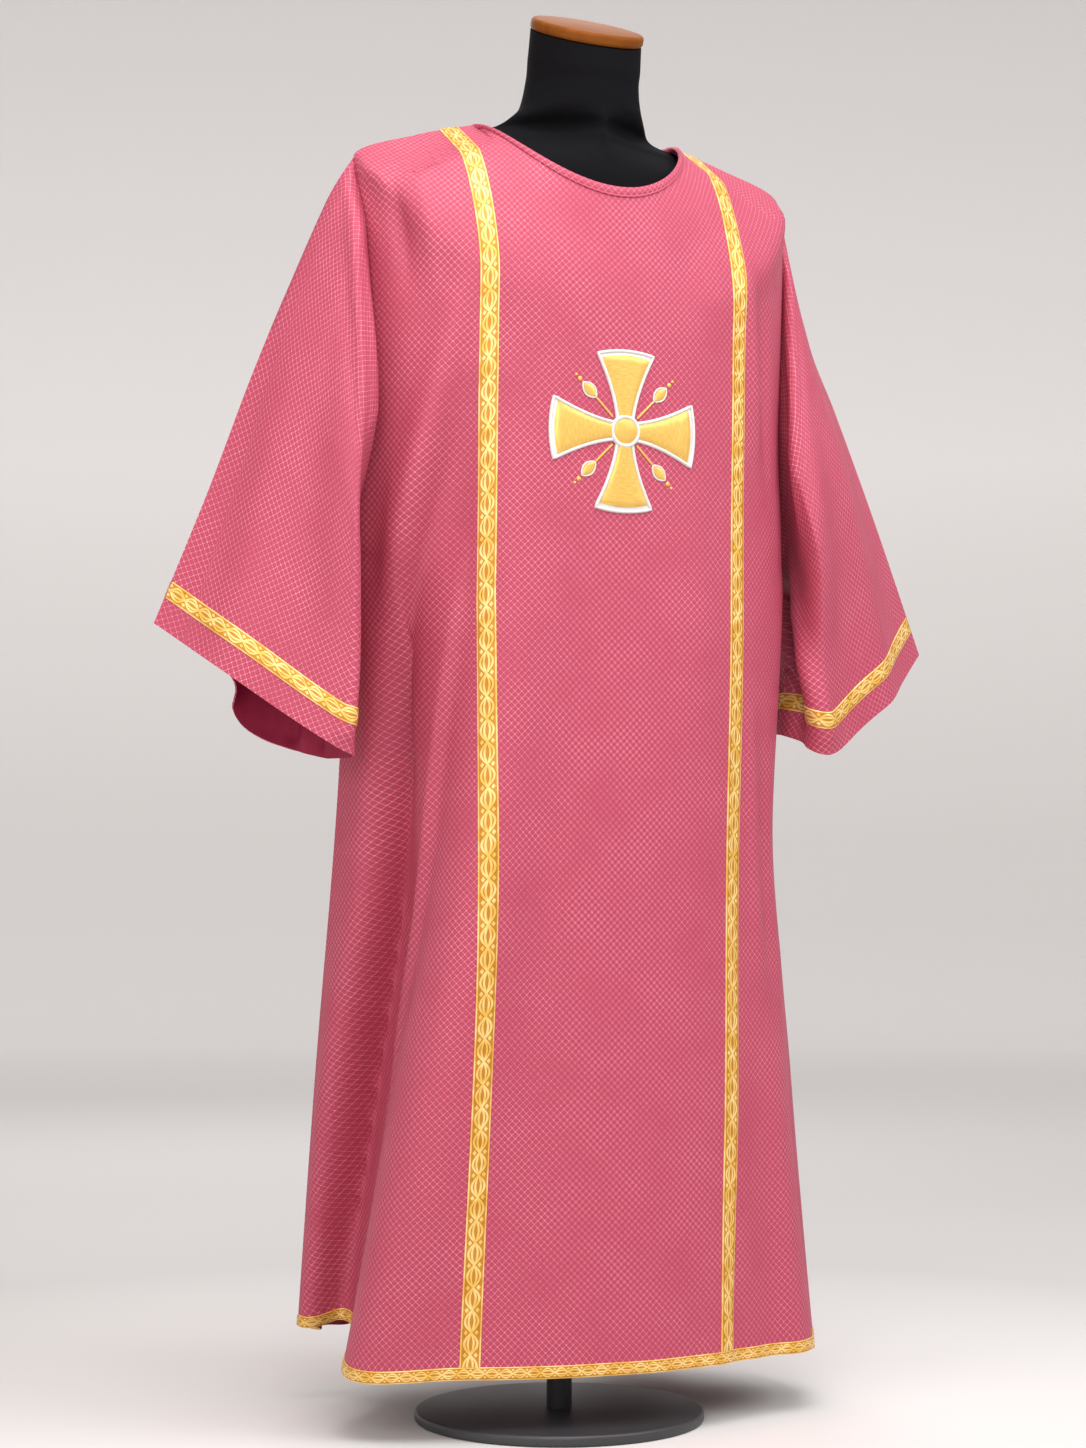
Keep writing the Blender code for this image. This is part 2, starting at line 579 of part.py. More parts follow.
def main():
    for obj in list(bpy.data.objects):
        bpy.data.objects.remove(obj)
    rose = finish("rose_brocade", (0.50, 0.07, 0.12), 0.55)
    gold = finish("gold_galloon", (0.80, 0.50, 0.12), 0.45, 0.3)
    silver = finish("silver_thread", (0.75, 0.74, 0.72), 0.4, 0.4)
    jersey = finish("black_jersey", (0.012, 0.012, 0.014), 0.85)
    wood = finish("varnished_wood", (0.50, 0.20, 0.07), 0.3)
    steel = finish("painted_steel", (0.05, 0.05, 0.055), 0.45, 0.6)

    front, back = panel_grid("front"), panel_grid("back")
    sew(front, back)
    arm = slice(0, ARMHOLE_STEPS + 1)
    middle = NECK_STEPS + 2 + SIDE_STEPS
    sheets = {
        "front_panel": Cloth(front, split=middle),
        "back_panel": Cloth(back, flip=True, split=middle),
        "sleeve_right": Cloth(sleeve_grid("right", front[arm, 0], back[arm, 0]), ring=True),
        "sleeve_left": Cloth(sleeve_grid("left", front[arm, -1], back[arm, -1]), ring=True, flip=True),
    }
    share_normals(sheets.values())
    for name, sheet in sheets.items():
        cells = sheet.cells(pulled="t" if sheet.ring else "tlr")
        add(name, slab(name, cells, -CLOTH / 2, CLOTH / 2), rose)

    low = CLOTH / 2 + TRIM_LIFT
    high = low + TRIM
    for side, word in ((-1, "right"), (1, "left")):
        first = middle + side * (NECK_STEPS + 1) - (side < 0)
        for panel in ("front", "back"):
            sheet = sheets[panel + "_panel"]
            name = f"band_{panel}_{word}"
            cells = sheet.cells(sheet.spans()[0][:-1], range(first, first + 1), "tb")
            add(name, slab(name, cells, low, high), gold)
        sleeve = sheets["sleeve_" + word]
        name = f"cuff_galloon_{word}"
        add(name, slab(name, sleeve.cells(sleeve.spans()[0][-2:-1]), low, high), gold)
    for panel in ("front", "back"):
        sheet = sheets[panel + "_panel"]
        name = f"hem_galloon_{panel}"
        add(name, slab(name, sheet.cells(sheet.spans()[0][-1:], pulled="lr"), low, high), gold)
    binding = neck_cells(sheets["front_panel"], sheets["back_panel"], middle)
    add("neck_binding", slab("neck_binding", binding, low, high), rose)

    edge = CROSS_EDGE
    ground = on_skin(cross_grid(CROSS_REACH, CROSS_WAIST, CROSS_END), sheets["front_panel"])
    add("cross_ground", slab("cross_ground", ground, 0.0006, 0.0014), silver)
    field = cross_grid(CROSS_REACH - edge, CROSS_WAIST - edge, CROSS_END - edge)
    add("cross_field", slab("cross_field", on_skin(field, sheets["front_panel"]), 0.0018, 0.0028), gold)

    torso = add("form_torso", form_mesh(), jersey)
    torso.data.shade_smooth()
    torso.data.set_sharp_from_angle(angle=math.radians(50))
    half = CAP_THICK / 2
    disc = [(-half + 0.0004, 0.003), (-half + 0.0034, 0), (half - 0.004, 0), (half - 0.001, 0.0015), (half, 0.005)]
    cap = [(CAP_RADIUS - inset, height) for height, inset in disc]
    turned = Matrix.Translation(CAP_MIDDLE) @ Matrix.Rotation(CAP_TILT, 4, "X")
    add("form_cap", lathe("form_cap", cap, 32, turned), wood)

    under = Matrix.Translation((0, POLE_BACK, 0))
    pole = [(POLE_RADIUS, BASE_THICK + SEAM_GAP), (POLE_RADIUS, FORM["z"][0] - SEAM_GAP)]
    plate = [(BASE_RADIUS, 0), (BASE_RADIUS, 0.007), (BASE_RADIUS - 0.005, BASE_THICK)]
    add("stand_pole", lathe("stand_pole", pole, 20, under), steel)
    add("stand_base", lathe("stand_base", plate, 48, under), steel)


main()
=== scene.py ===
import math

import bpy
import numpy as np
from mathutils import Matrix, Vector
from mathutils.bvhtree import BVHTree


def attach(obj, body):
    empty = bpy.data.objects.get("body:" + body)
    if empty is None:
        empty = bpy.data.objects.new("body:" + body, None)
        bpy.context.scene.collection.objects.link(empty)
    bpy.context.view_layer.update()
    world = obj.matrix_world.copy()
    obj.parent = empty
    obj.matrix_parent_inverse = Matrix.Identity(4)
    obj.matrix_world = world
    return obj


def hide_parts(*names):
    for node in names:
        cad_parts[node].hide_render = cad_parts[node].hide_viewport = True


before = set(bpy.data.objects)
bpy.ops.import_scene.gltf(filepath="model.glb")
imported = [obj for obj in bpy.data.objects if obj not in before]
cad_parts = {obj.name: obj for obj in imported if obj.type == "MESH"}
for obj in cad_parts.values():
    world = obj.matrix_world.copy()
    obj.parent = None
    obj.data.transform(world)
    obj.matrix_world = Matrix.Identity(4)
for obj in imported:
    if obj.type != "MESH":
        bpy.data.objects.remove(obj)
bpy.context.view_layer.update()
bpy.ops.object.select_all(action="DESELECT")
print("frame loaded:", len(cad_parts), "solids")

# Metres, +Z up, the front faces -Y and the wearer's right is -X. Shapes are worked out round the middle of
# the body, which stands in front of the pole, and every finished piece is moved onto the frame by poleBack.
poleBack = 0.035


camera = {
    "azimuth": -25.0,  # degrees, from the wearer's right
    "distance": 3.175,
    "aside": -0.0327,
    "height": 0.615,
    "tilt": 2.754,
    "lens": 71.33,
}


def makeCamera():
    turn = math.radians(camera["azimuth"])
    right = Vector((math.cos(turn), math.sin(turn), 0))
    away = Vector((math.sin(turn), -math.cos(turn), 0))
    spot = away * camera["distance"] + right * camera["aside"] + Vector((0, -poleBack, camera["height"]))
    data = bpy.data.cameras.new("camera")
    data.lens = camera["lens"]
    data.sensor_width = 36
    data.clip_start = 0.05
    eye = bpy.data.objects.new("camera", data)
    eye.location = spot
    eye.rotation_euler = (math.radians(90 + camera["tilt"]), 0, turn)
    bpy.context.scene.collection.objects.link(eye)
    bpy.context.scene.camera = eye


def linear(code, alpha=1.0):
    # an sRGB hex value as the linear colour that the shader wants
    parts = [int(code.lstrip("#")[i:i + 2], 16) / 255 for i in (0, 2, 4)]
    return tuple(c / 12.92 if c <= 0.04045 else ((c + 0.055) / 1.055) ** 2.4 for c in parts) + (alpha,)


def addNode(material, kind, inputs=None, **settings):
    # one node with its settings; an input is a value, another node's output, or a node for its first output
    node = material.node_tree.nodes.new(kind)
    for name, value in settings.items():
        setattr(node, name, value)
    for socket, value in (inputs or {}).items():
        value = value.outputs[0] if isinstance(value, bpy.types.Node) else value
        if isinstance(value, bpy.types.NodeSocket):
            material.node_tree.links.new(value, node.inputs[socket])
        else:
            node.inputs[socket].default_value = value
    return node


smooth = {"interpolation_type": "SMOOTHSTEP"}


def newMaterial(name, **sockets):
    material = bpy.data.materials.new(name)
    material.use_nodes = True
    shader = material.node_tree.nodes["Principled BSDF"]
    for socket, value in sockets.items():
        shader.inputs[socket.replace("_", " ")].default_value = value
    return material, shader


stage = {
    "radius": 6.5,
    "curve": 1.8,
    "height": 3.6,
    "steps": 12,  # in the curve from floor to wall
    "paintedPool": "#D3D0CE",  # the floor under the stand: a painted pool of light
    "shades": (  # over what, from, to, and the shade that it turns to: painted shade round the stand, painted light far out and up the wall where the lamps fall off, painted shade again at its top
        ("ground", 0.2, 1.6, "#BDBAB8"),  # square of the way out over the floor
        ("ground", 5.0, 42.0, "#E8E5E3"),
        ("height", 0.0, 0.4, "#E2DFDD"),  # up the wall
        ("height", 0.7, 2.2, "#F6F3F2"),
        ("height", 2.2, 4.2, "#E4E1E0"),
    ),
}


def makeStage():
    # a pale paper sweep, closed all round so that every view has the same backdrop; its shades are painted
    # light and shade over the paper's pale colour
    material, shader = newMaterial("matt studio paper", Roughness=0.95, Specular_IOR_Level=0.1)
    place = addNode(material, "ShaderNodeTexCoord")
    split = addNode(material, "ShaderNodeSeparateXYZ", {0: place.outputs["Object"]})
    across = addNode(
        material, "ShaderNodeMath", {0: split.outputs[0], 1: split.outputs[0]}, operation="MULTIPLY"
    )
    square = addNode(
        material, "ShaderNodeMath", {0: split.outputs[1], 1: split.outputs[1], 2: across},
        operation="MULTIPLY_ADD",
    )
    before, over = linear(stage["paintedPool"]), {"ground": square, "height": split.outputs[2]}
    # each step paints its own light and shade onto the paper
    for way, start, end, shade in stage["shades"]:
        share = addNode(material, "ShaderNodeMapRange", {0: over[way], 1: start, 2: end})
        colour = addNode(
            material, "ShaderNodeMix", {0: share, 6: before, 7: linear(shade)}, data_type="RGBA"
        )
        before = colour.outputs[2]
    material.node_tree.links.new(before, shader.inputs["Base Color"])
    bpy.ops.mesh.primitive_circle_add(vertices=96, radius=stage["radius"], fill_type="NGON")
    sweep = bpy.context.object
    sweep.name = "sweep"
    bpy.ops.object.mode_set(mode="EDIT")
    bpy.ops.mesh.select_all(action="SELECT")
    for step in range(stage["steps"]):
        low, high = (math.radians(90 * at / stage["steps"]) for at in (step, step + 1))
        out = stage["curve"] * (math.sin(high) - math.sin(low))
        rise = stage["curve"] * (math.cos(low) - math.cos(high))
        reach = stage["radius"] + stage["curve"] * math.sin(low)
        bpy.ops.mesh.extrude_region_move(TRANSFORM_OT_translate={"value": (0, 0, rise)})
        bpy.ops.transform.resize(value=((reach + out) / reach, (reach + out) / reach, 1))
    bpy.ops.mesh.extrude_region_move(TRANSFORM_OT_translate={"value": (0, 0, stage["height"])})
    bpy.ops.mesh.delete(type="ONLY_FACE")
    bpy.ops.object.mode_set(mode="OBJECT")
    bpy.ops.object.shade_smooth()
    sweep.data.materials.append(material)
    bpy.ops.object.select_all(action="DESELECT")


lamps = [  # name, place, aim, size, watts, colour: big soft boxes
    ("key", (-1.6, -3.0, 1.9), (0, 0, 0.8), 1.6, 46, "#FFFBF6"),
    ("fill", (1.9, -2.2, 2.6), (0, 0, 0.8), 1.6, 44, "#F7F9FF"),
    ("side", (-3.2, -1.5, 1.3), (0, 0, 0.8), 2.0, 24, "#FFFBF6"),
    ("top", (-0.2, -1.2, 3.6), (0, 0, 0.8), 2.2, 86, "#FFFFFF"),
    ("behind", (0.6, 3.0, 2.6), (0, 0, 0.8), 2.2, 35, "#FFFFFF"),
    ("wash", (0.6, 2.4, 4.0), (3.0, 6.8, 1.2), 2.0, 45, "#FFFFFF"),  # on the backdrop alone
]


def makeLights():
    for name, place, aim, size, watts, colour in lamps:
        data = bpy.data.lights.new(name, "AREA")
        data.shape = "SQUARE"
        data.size = size
        data.energy = watts
        data.color = linear(colour)[:3]
        lamp = bpy.data.objects.new(name, data)
        lamp.location = place
        lamp.rotation_euler = (Vector(aim) - Vector(place)).to_track_quat("-Z", "Y").to_euler()
        bpy.context.scene.collection.objects.link(lamp)
    world = bpy.data.worlds.new("studio air")
    world.use_nodes = True
    sky = world.node_tree.nodes["Background"]
    sky.inputs["Color"].default_value = linear("#F2F0F0")
    sky.inputs["Strength"].default_value = 0.75
    bpy.context.scene.world = world
    bpy.context.scene.view_settings.view_transform = "Standard"


makeCamera()
makeStage()
makeLights()
print("camera, stage and lights ready")


# the garment's form: sections and folds in metres, as named columns
def columnsOf(names, *rows):
    return {name: [row[i] for row in rows] for i, name in enumerate(names.split())}


cloth = {
    "thick": 0.002,
    "neckHalf": 0.120,
    "bandMiddle": 0.150,
    "bandWidth": 0.022,
    "bindingWidth": 0.011,
    "hemGalloon": 0.013,
    "cuffBand": 0.019,
    "cuffStrip": 0.030,
    "tipLevel": 0.11,  # shoulder's end, of the way from neckline to hem
    "armpitLevel": 0.38,
    "foldDip": 0.2,
    "drawnHigh": 0.85,  # how far round the cloth starts to draw in, by the armhole
    "drawnLow": 0.66,  # and lower down
    "drawnOver": 0.24,  # levels between the two
    "straightBy": 0.30,  # level where the columns by the neck hang straight
    "spreadBy": 0.32,  # and those under the arm keep their shares
    "edgeCalm": 0.02,  # no creases nearer than this to a sewn edge
    "fine": 5,  # columns for each broad step across
    "fineDown": 9,  # rows for each broad step down
}
broad = {"neck": 6, "side": 10, "armhole": 10, "skirt": 15, "crest": 7, "sleeve": 9}

# From the neckline (level 0) to the hem (1): front and back middle, right and left side points; then how
# far the armhole opens to the front and the back, how full the cloth stays beside that edge, how square the
# sections are, how far round they turn (degrees).
body = columnsOf(
    "level frontY frontZ backY backZ rightX rightY rightZ leftX leftY leftZ",
    (0.00, -0.120, 1.342, 0.085, 1.432, 0.120, 0.000, 1.425, 0.120, 0.000, 1.425),
    (0.055, -0.130, 1.272, 0.112, 1.380, 0.190, 0.0, 1.406, 0.190, 0.0, 1.406),
    (0.11, -0.133, 1.200, 0.132, 1.320, 0.262, 0.0, 1.373, 0.262, 0.0, 1.373),
    (0.17, -0.131, 1.125, 0.147, 1.245, 0.256, 0.018, 1.292, 0.254, 0.018, 1.292),
    (0.27, -0.126, 1.000, 0.159, 1.110, 0.251, 0.032, 1.140, 0.248, 0.033, 1.140),
    (0.34, -0.123, 0.912, 0.163, 1.010, 0.252, 0.042, 1.010, 0.256, 0.042, 1.010),
    (0.365, -0.1225, 0.880, 0.166, 0.975, 0.251, 0.045, 0.968, 0.258, 0.044, 0.968),
    (0.38, -0.122, 0.860, 0.167, 0.955, 0.250, 0.046, 0.955, 0.259, 0.044, 0.955),
    (0.55, -0.114, 0.641, 0.187, 0.715, 0.244, 0.080, 0.724, 0.260, 0.060, 0.720),
    (0.78, -0.102, 0.346, 0.238, 0.380, 0.241, 0.155, 0.400, 0.293, 0.092, 0.385),
    (1.00, -0.088, 0.068, 0.305, 0.075, 0.233, 0.235, 0.090, 0.333, 0.125, 0.066),
)
body |= columnsOf(
    "frontOpen backOpen frontFull backFull frontSquare backSquare frontTurn backTurn",
    (0.0, 0.0, 0.0, 0.0, 2.0, 2.0, 90, 90),
    (0.0, 0.0, 0.0, 0.0, 2.1, 2.1, 90, 90),
    (0.0, 0.0, 0.0, 0.0, 2.2, 2.2, 86, 86),
    (0.042, 0.066, 0.042, 0.066, 2.3, 2.3, 70, 66),
    (0.058, 0.092, 0.058, 0.092, 2.4, 2.3, 70, 62),
    (0.036, 0.066, 0.060, 0.092, 2.4, 2.2, 72, 64),
    (0.020, 0.043, 0.060, 0.090, 2.4, 2.15, 72, 65),
    (0.0, 0.0, 0.059, 0.089, 2.4, 2.1, 73, 66),
    (0.0, 0.0, 0.040, 0.050, 2.5, 2.0, 80, 78),
    (0.0, 0.0, 0.010, 0.010, 2.8, 2.0, 88, 88),
    (0.0, 0.0, 0.0, 0.0, 3.0, 2.2, 90, 90),
)


# Long folds: where each lies on its half ring, centre line (0) to side seam (1), at its top and at the hem,
# its width there, and how far the hem swings out or in.
folds = columnsOf(
    "panel half top topAt hemAt width swing",
    ("front", "right", 0.20, 0.34, 0.54, 0.13, 0.050),
    ("front", "right", 0.16, 0.55, 0.81, 0.11, -0.050),
    ("front", "left", 0.40, 0.50, 0.48, 0.11, -0.012),
    ("front", "left", 0.40, 0.72, 0.66, 0.10, 0.003),
    ("back", "right", 0.12, 0.60, 0.76, 0.10, 0.012),
    ("back", "right", 0.12, 0.42, 0.58, 0.10, -0.028),
    ("back", "right", 0.16, 0.22, 0.34, 0.10, 0.026),
    ("back", "left", 0.14, 0.18, 0.28, 0.10, -0.024),
    ("back", "left", 0.12, 0.42, 0.52, 0.11, 0.030),
    ("back", "left", 0.20, 0.66, 0.76, 0.11, -0.030),
)

# The sleeve's edge, from its top ridge (turn 0) round the front fold, the underside (1) and the back fold.
cuff = {
    "right": columnsOf(
        "turn x y z",
        (0.00, 0.472, 0.030, 0.865),
        (0.32, 0.392, -0.050, 0.792),
        (0.64, 0.301, -0.090, 0.728),
        (0.82, 0.286, -0.060, 0.724),
        (1.00, 0.286, 0.000, 0.725),
        (1.18, 0.298, 0.060, 0.734),
        (1.27, 0.322, 0.096, 0.747),
        (1.36, 0.344, 0.120, 0.765),
        (1.42, 0.356, 0.127, 0.787),
        (1.48, 0.362, 0.124, 0.811),
        (1.60, 0.387, 0.110, 0.840),
        (1.80, 0.435, 0.080, 0.860),
        (2.00, 0.472, 0.030, 0.865),
    ),
    "left": columnsOf(
        "turn x y z",
        (0.00, 0.470, 0.030, 0.860),
        (0.32, 0.382, -0.032, 0.793),
        (0.64, 0.290, -0.062, 0.736),
        (0.82, 0.266, -0.040, 0.748),
        (1.00, 0.272, 0.020, 0.762),
        (1.18, 0.290, 0.070, 0.764),
        (1.36, 0.330, 0.118, 0.776),
        (1.68, 0.412, 0.100, 0.820),
        (2.00, 0.470, 0.030, 0.860),
    ),
}
# How far the sleeve swells between armhole and cuff, at shares of the way.
swell = columnsOf(
    "way rightY leftY backY rightX leftX rightFold leftFold underX",
    (0.00, 0.000, 0.000, 0.000, 0.000, 0.000, 0.000, 0.000, 0.000),
    (0.05, -0.046, -0.030, 0.016, 0.006, -0.004, 0.008, -0.006, 0.011),
    (0.10, -0.052, -0.040, 0.024, 0.009, -0.008, 0.018, -0.010, 0.016),
    (0.22, -0.053, -0.052, 0.032, 0.010, -0.015, 0.030, -0.010, 0.019),
    (0.33, -0.050, -0.056, 0.035, 0.010, -0.017, 0.028, -0.006, 0.019),
    (0.45, -0.042, -0.050, 0.034, 0.009, -0.011, 0.022, 0.000, 0.016),
    (0.75, -0.017, -0.020, 0.018, 0.002, -0.003, 0.008, 0.002, 0.008),
    (1.00, 0.000, 0.000, 0.000, 0.000, 0.000, 0.000, 0.000, 0.000),
)


def onCurve(at, knots, values):
    # between a table's rows, on a curve that doesn't overshoot them
    knots, values = np.asarray(knots, float), np.asarray(values, float)
    step = np.diff(knots)
    slope = np.diff(values) / step
    product, total = slope[1:] * slope[:-1], slope[1:] + slope[:-1]
    inner = np.where(product > 0, 2 * product / np.where(total == 0, 1, total), 0)
    tangent = np.concatenate(([slope[0]], inner, [slope[-1]]))
    i = np.clip(np.searchsorted(knots, at) - 1, 0, len(step) - 1)
    t = np.clip((at - knots[i]) / step[i], 0, 1)
    rise = values[i] * (1 + 2 * t) * (1 - t) ** 2 + values[i + 1] * t * t * (3 - 2 * t)
    return rise + (tangent[i] * t * (1 - t) ** 2 + tangent[i + 1] * t * t * (t - 1)) * step[i]


def eased(t):
    t = np.clip(t, 0, 1)
    return t * t * (3 - 2 * t)


def bodyAt(level, column):
    return float(onCurve(level, body["level"], body[column]))


def runOf(points, axis=0):
    # how far along its line each point lies; a grid has a line for each column (axis 0) or row (axis 1)
    steps = np.linalg.norm(np.diff(points, axis=axis), axis=-1)
    return np.insert(np.cumsum(steps, axis=axis), 0, 0, axis=axis)


def joined(grid):
    # a ring's first column again after its last
    return np.concatenate([grid, grid[:, :1]], axis=1)


def placed(at, knots, points):
    return np.stack([np.interp(at, knots, points[:, k]) for k in range(points.shape[1])], axis=1)


def foldSwing(panel, half, level, share):
    out = np.zeros(len(share))
    for onPanel, onHalf, top, topAt, hemAt, width, swing in zip(*folds.values()):
        if (onPanel, onHalf) != (panel, half) or level <= top:
            continue
        down = (level - top) / (1 - top)
        out += swing * down**1.15 * np.exp(-(((share - topAt - (hemAt - topAt) * down) / width) ** 2))
    return out * eased(np.minimum(share / 0.15, (1 - share) / 0.10))


def halfRow(panel, half, level, count=260):
    # one half of a ring, from the panel's middle to its side edge
    side = -1 if half == "right" else 1
    middleY, middleZ = bodyAt(level, panel + "Y"), bodyAt(level, panel + "Z")
    edgeX, edgeZ = bodyAt(level, half + "X"), bodyAt(level, half + "Z")
    full, forward = bodyAt(level, panel + "Full"), -1 if panel == "front" else 1
    edgeY = bodyAt(level, half + "Y") + forward * full
    power = 2 / bodyAt(level, panel + "Square")
    angle = np.linspace(0, math.radians(bodyAt(level, panel + "Turn")), count)
    across, along = np.sin(angle) ** power, np.abs(np.cos(angle)) ** power
    across, along = across / across[-1], (along - along[-1]) / (1 - along[-1])
    roll = along ** (1.7 - 0.7 * min(1, level / 0.3))
    points = np.stack(
        [side * edgeX * across, edgeY + (middleY - edgeY) * along, edgeZ + (middleZ - edgeZ) * roll], axis=1
    )
    run = runOf(points)
    even = np.linspace(0, 1, count)
    points = placed(even, run / run[-1], points)
    tangent = np.gradient(points, axis=0)
    outward = np.stack([tangent[:, 1], -tangent[:, 0], np.zeros(count)], axis=1)
    outward /= np.linalg.norm(outward, axis=1)[:, None]
    outward *= side if panel == "front" else -side
    # drawn in towards the edge, over a narrow strip by the armhole and a broad one lower down
    lower = eased((level - cloth["armpitLevel"]) / cloth["drawnOver"])
    start = cloth["drawnHigh"] + (cloth["drawnLow"] - cloth["drawnHigh"]) * lower
    points[:, 1] -= forward * (full - bodyAt(level, panel + "Open")) * eased((even - start) / (1 - start))
    swing = foldSwing(panel, half, level, even)
    points += outward * swing[:, None]
    points[:, 2] -= cloth["foldDip"] * np.maximum(swing, 0)
    return points


def halfPanel(panel, half):
    # grid of points: columns from the centre line to the side seam, rows from neckline or shoulder to hem
    inner = cloth["bandMiddle"] - cloth["bandWidth"] / 2
    outer = inner + cloth["bandWidth"]
    fine, down = cloth["fine"], cloth["fineDown"]
    levels = np.linspace(0, 1, 240) ** 1.5
    rows = [halfRow(panel, half, level) for level in levels]
    tip = np.linspace(0, cloth["tipLevel"], 60)
    seamX = [bodyAt(level, half + "X") for level in tip]
    steps = np.arange((broad["neck"] + 2 + broad["side"]) * fine + 1) / fine
    neck, band = broad["neck"], broad["neck"] + 1
    part = np.clip((steps - band - 1) / broad["side"], 0, 1)
    topX = np.interp(steps, [neck, band, band + 1], [cloth["neckHalf"], inner, outer])
    curve = np.sin(math.pi / 2 * np.minimum(steps / neck, 1))
    topX = np.where(steps < neck, cloth["neckHalf"] * curve, topX)
    topX = np.where(steps > band + 1, outer + (seamX[-1] - outer) * part, topX)
    lowX = np.minimum(inner * steps / band, inner)
    starts = np.interp(topX, seamX, tip) * (steps > neck)
    even = np.linspace(0, 1, len(rows[0]))
    grid = []
    for level, row in zip(levels, rows):
        reach = np.maximum.accumulate(np.abs(row[:, 0]))
        byNeck = topX + (lowX - topX) * eased(level / cloth["straightBy"])
        near = np.interp(np.minimum(topX, outer), reach, even)
        spread = topX if level < cloth["tipLevel"] else outer + (reach[-1] - outer) * part
        upright = np.interp(np.where(part > 0, spread, np.minimum(topX, outer)), reach, even)
        lower = eased((level - cloth["tipLevel"]) / (cloth["spreadBy"] - cloth["tipLevel"]))
        share = upright + (near + (1 - near) * part - upright) * lower
        share = np.where(steps < band, np.interp(byNeck, reach, even), share)
        grid.append(placed(share, even, row))
    grid = np.array(grid)
    armShare = (cloth["armpitLevel"] - cloth["tipLevel"]) / (1 - cloth["tipLevel"])
    columns = []
    for i, start in enumerate(starts):
        kept = levels > start + 0.012
        first = halfRow(panel, half, start)
        if start == 0:
            first = placed([np.interp(topX[i], np.abs(first[:, 0]), even)], even, first)
        else:
            first = first[-1:]
        if steps[i] == neck:
            first = rows[0][-1:]
        points = np.concatenate([first, grid[kept, i]])
        run = runOf(points)
        armpit = np.interp(start + (1 - start) * armShare, np.concatenate(([start], levels[kept])), run)
        marks = np.concatenate([
            np.linspace(0, cloth["bindingWidth"], 4)[:-1],
            np.linspace(cloth["bindingWidth"], armpit, broad["armhole"] * down + 1)[:-1],
            np.linspace(armpit, run[-1] - cloth["hemGalloon"], broad["skirt"] * down - 2)[:-1],
            np.linspace(run[-1] - cloth["hemGalloon"], run[-1], 4),
        ])
        columns.append(placed(marks, run, points))
    return np.array(columns).transpose(1, 0, 2)


def panelGrid(panel):
    right, left = halfPanel(panel, "right"), halfPanel(panel, "left")
    return np.concatenate([right[:, ::-1], left[:, 1:]], axis=1)


bindingRows = 3
armpitRow = bindingRows + broad["armhole"] * cloth["fineDown"]
neckColumns = broad["neck"] * cloth["fine"]
middle = (broad["neck"] + 2 + broad["side"]) * cloth["fine"]


def sewn(front, back):
    # the back takes the front's very points along the shoulder and side seams
    neck = middle - neckColumns + 1
    back[0, :neck], back[0, -neck:] = front[0, :neck], front[0, -neck:]
    for edge in (0, -1):
        back[armpitRow:, edge] = front[armpitRow:, edge]


def sleeveGrid(half, front, back):
    # rows from the armhole to the cuff; the ring starts at the underside, goes up the back, down the front
    side = -1 if half == "right" else 1
    armhole = np.concatenate([front[:-1], back[:0:-1]])
    count = len(armhole)
    halfWay = count // 2
    coarse = np.interp(np.arange(halfWay + 1), [0, bindingRows, halfWay], [0, 1, broad["armhole"] + 1])
    whole = broad["armhole"] + 1
    around = np.concatenate([coarse, 2 * whole - coarse[-2:0:-1]])
    steps = [0, broad["crest"], whole, 2 * whole - broad["crest"], 2 * whole]
    turn = np.interp(around, steps, [0, 0.64, 1, 1.36, 2])
    facing = np.interp(around, steps, [0, 1, 0, -1, 0])
    ends = np.stack([onCurve(turn, cuff[half]["turn"], cuff[half][name]) for name in "xyz"], axis=1)
    ends[:, 0] *= side
    upper = (1 + np.cos(around / whole * math.pi)) / 2
    fold = 0.5 * np.abs(np.sin(facing * math.pi / 2)) + 0.5 * np.abs(facing)
    length = np.linalg.norm(ends - armhole, axis=1)
    bandTop = 1 - (cloth["cuffStrip"] + cloth["cuffBand"]) / length
    bandLow = 1 - cloth["cuffStrip"] / length
    down = np.linspace(0, 1, broad["sleeve"] * cloth["fineDown"] + 1) ** 1.15
    ways = [bandTop * step for step in down]
    ways += [bandTop + (bandLow - bandTop) * step for step in np.linspace(0, 1, 5)[1:]]
    ways += [bandLow + (1 - bandLow) * step for step in np.linspace(0, 1, 7)[1:]]
    rows = []
    for way in ways:
        row = armhole + (ends - armhole) * way[:, None]
        swollen = {name: onCurve(way, swell["way"], swell[name]) for name in swell if name != "way"}
        row[:, 1] += np.where(facing > 0, swollen[half + "Y"], swollen["backY"]) * fold
        out = swollen[half + "X"] * upper + swollen["underX"] * (1 - upper)
        out += (swollen[half + "Fold"] - out) * fold * fold
        row[:, 0] += side * out
        rows.append(row)
    return np.roll(np.array(rows), -halfWay, axis=1)


# sheets: a grid of points with its outward normals and its place on the flat cut
def unit(vectors):
    return vectors / np.maximum(np.linalg.norm(vectors, axis=-1, keepdims=True), 1e-12)


def normalsOf(grid, ring, flip):
    if ring:
        around = np.concatenate([grid[:, -1:], grid, grid[:, :1]], axis=1)
        across = around[:, 2:] - around[:, :-2]
    else:
        across = np.gradient(grid, axis=1)
    return unit(np.cross(np.gradient(grid, axis=0), across)) * (-1 if flip else 1)


cut = {"rows": 60, "columns": 49, "rounds": 500, "ease": 0.28}  # the net that is pulled flat, and how


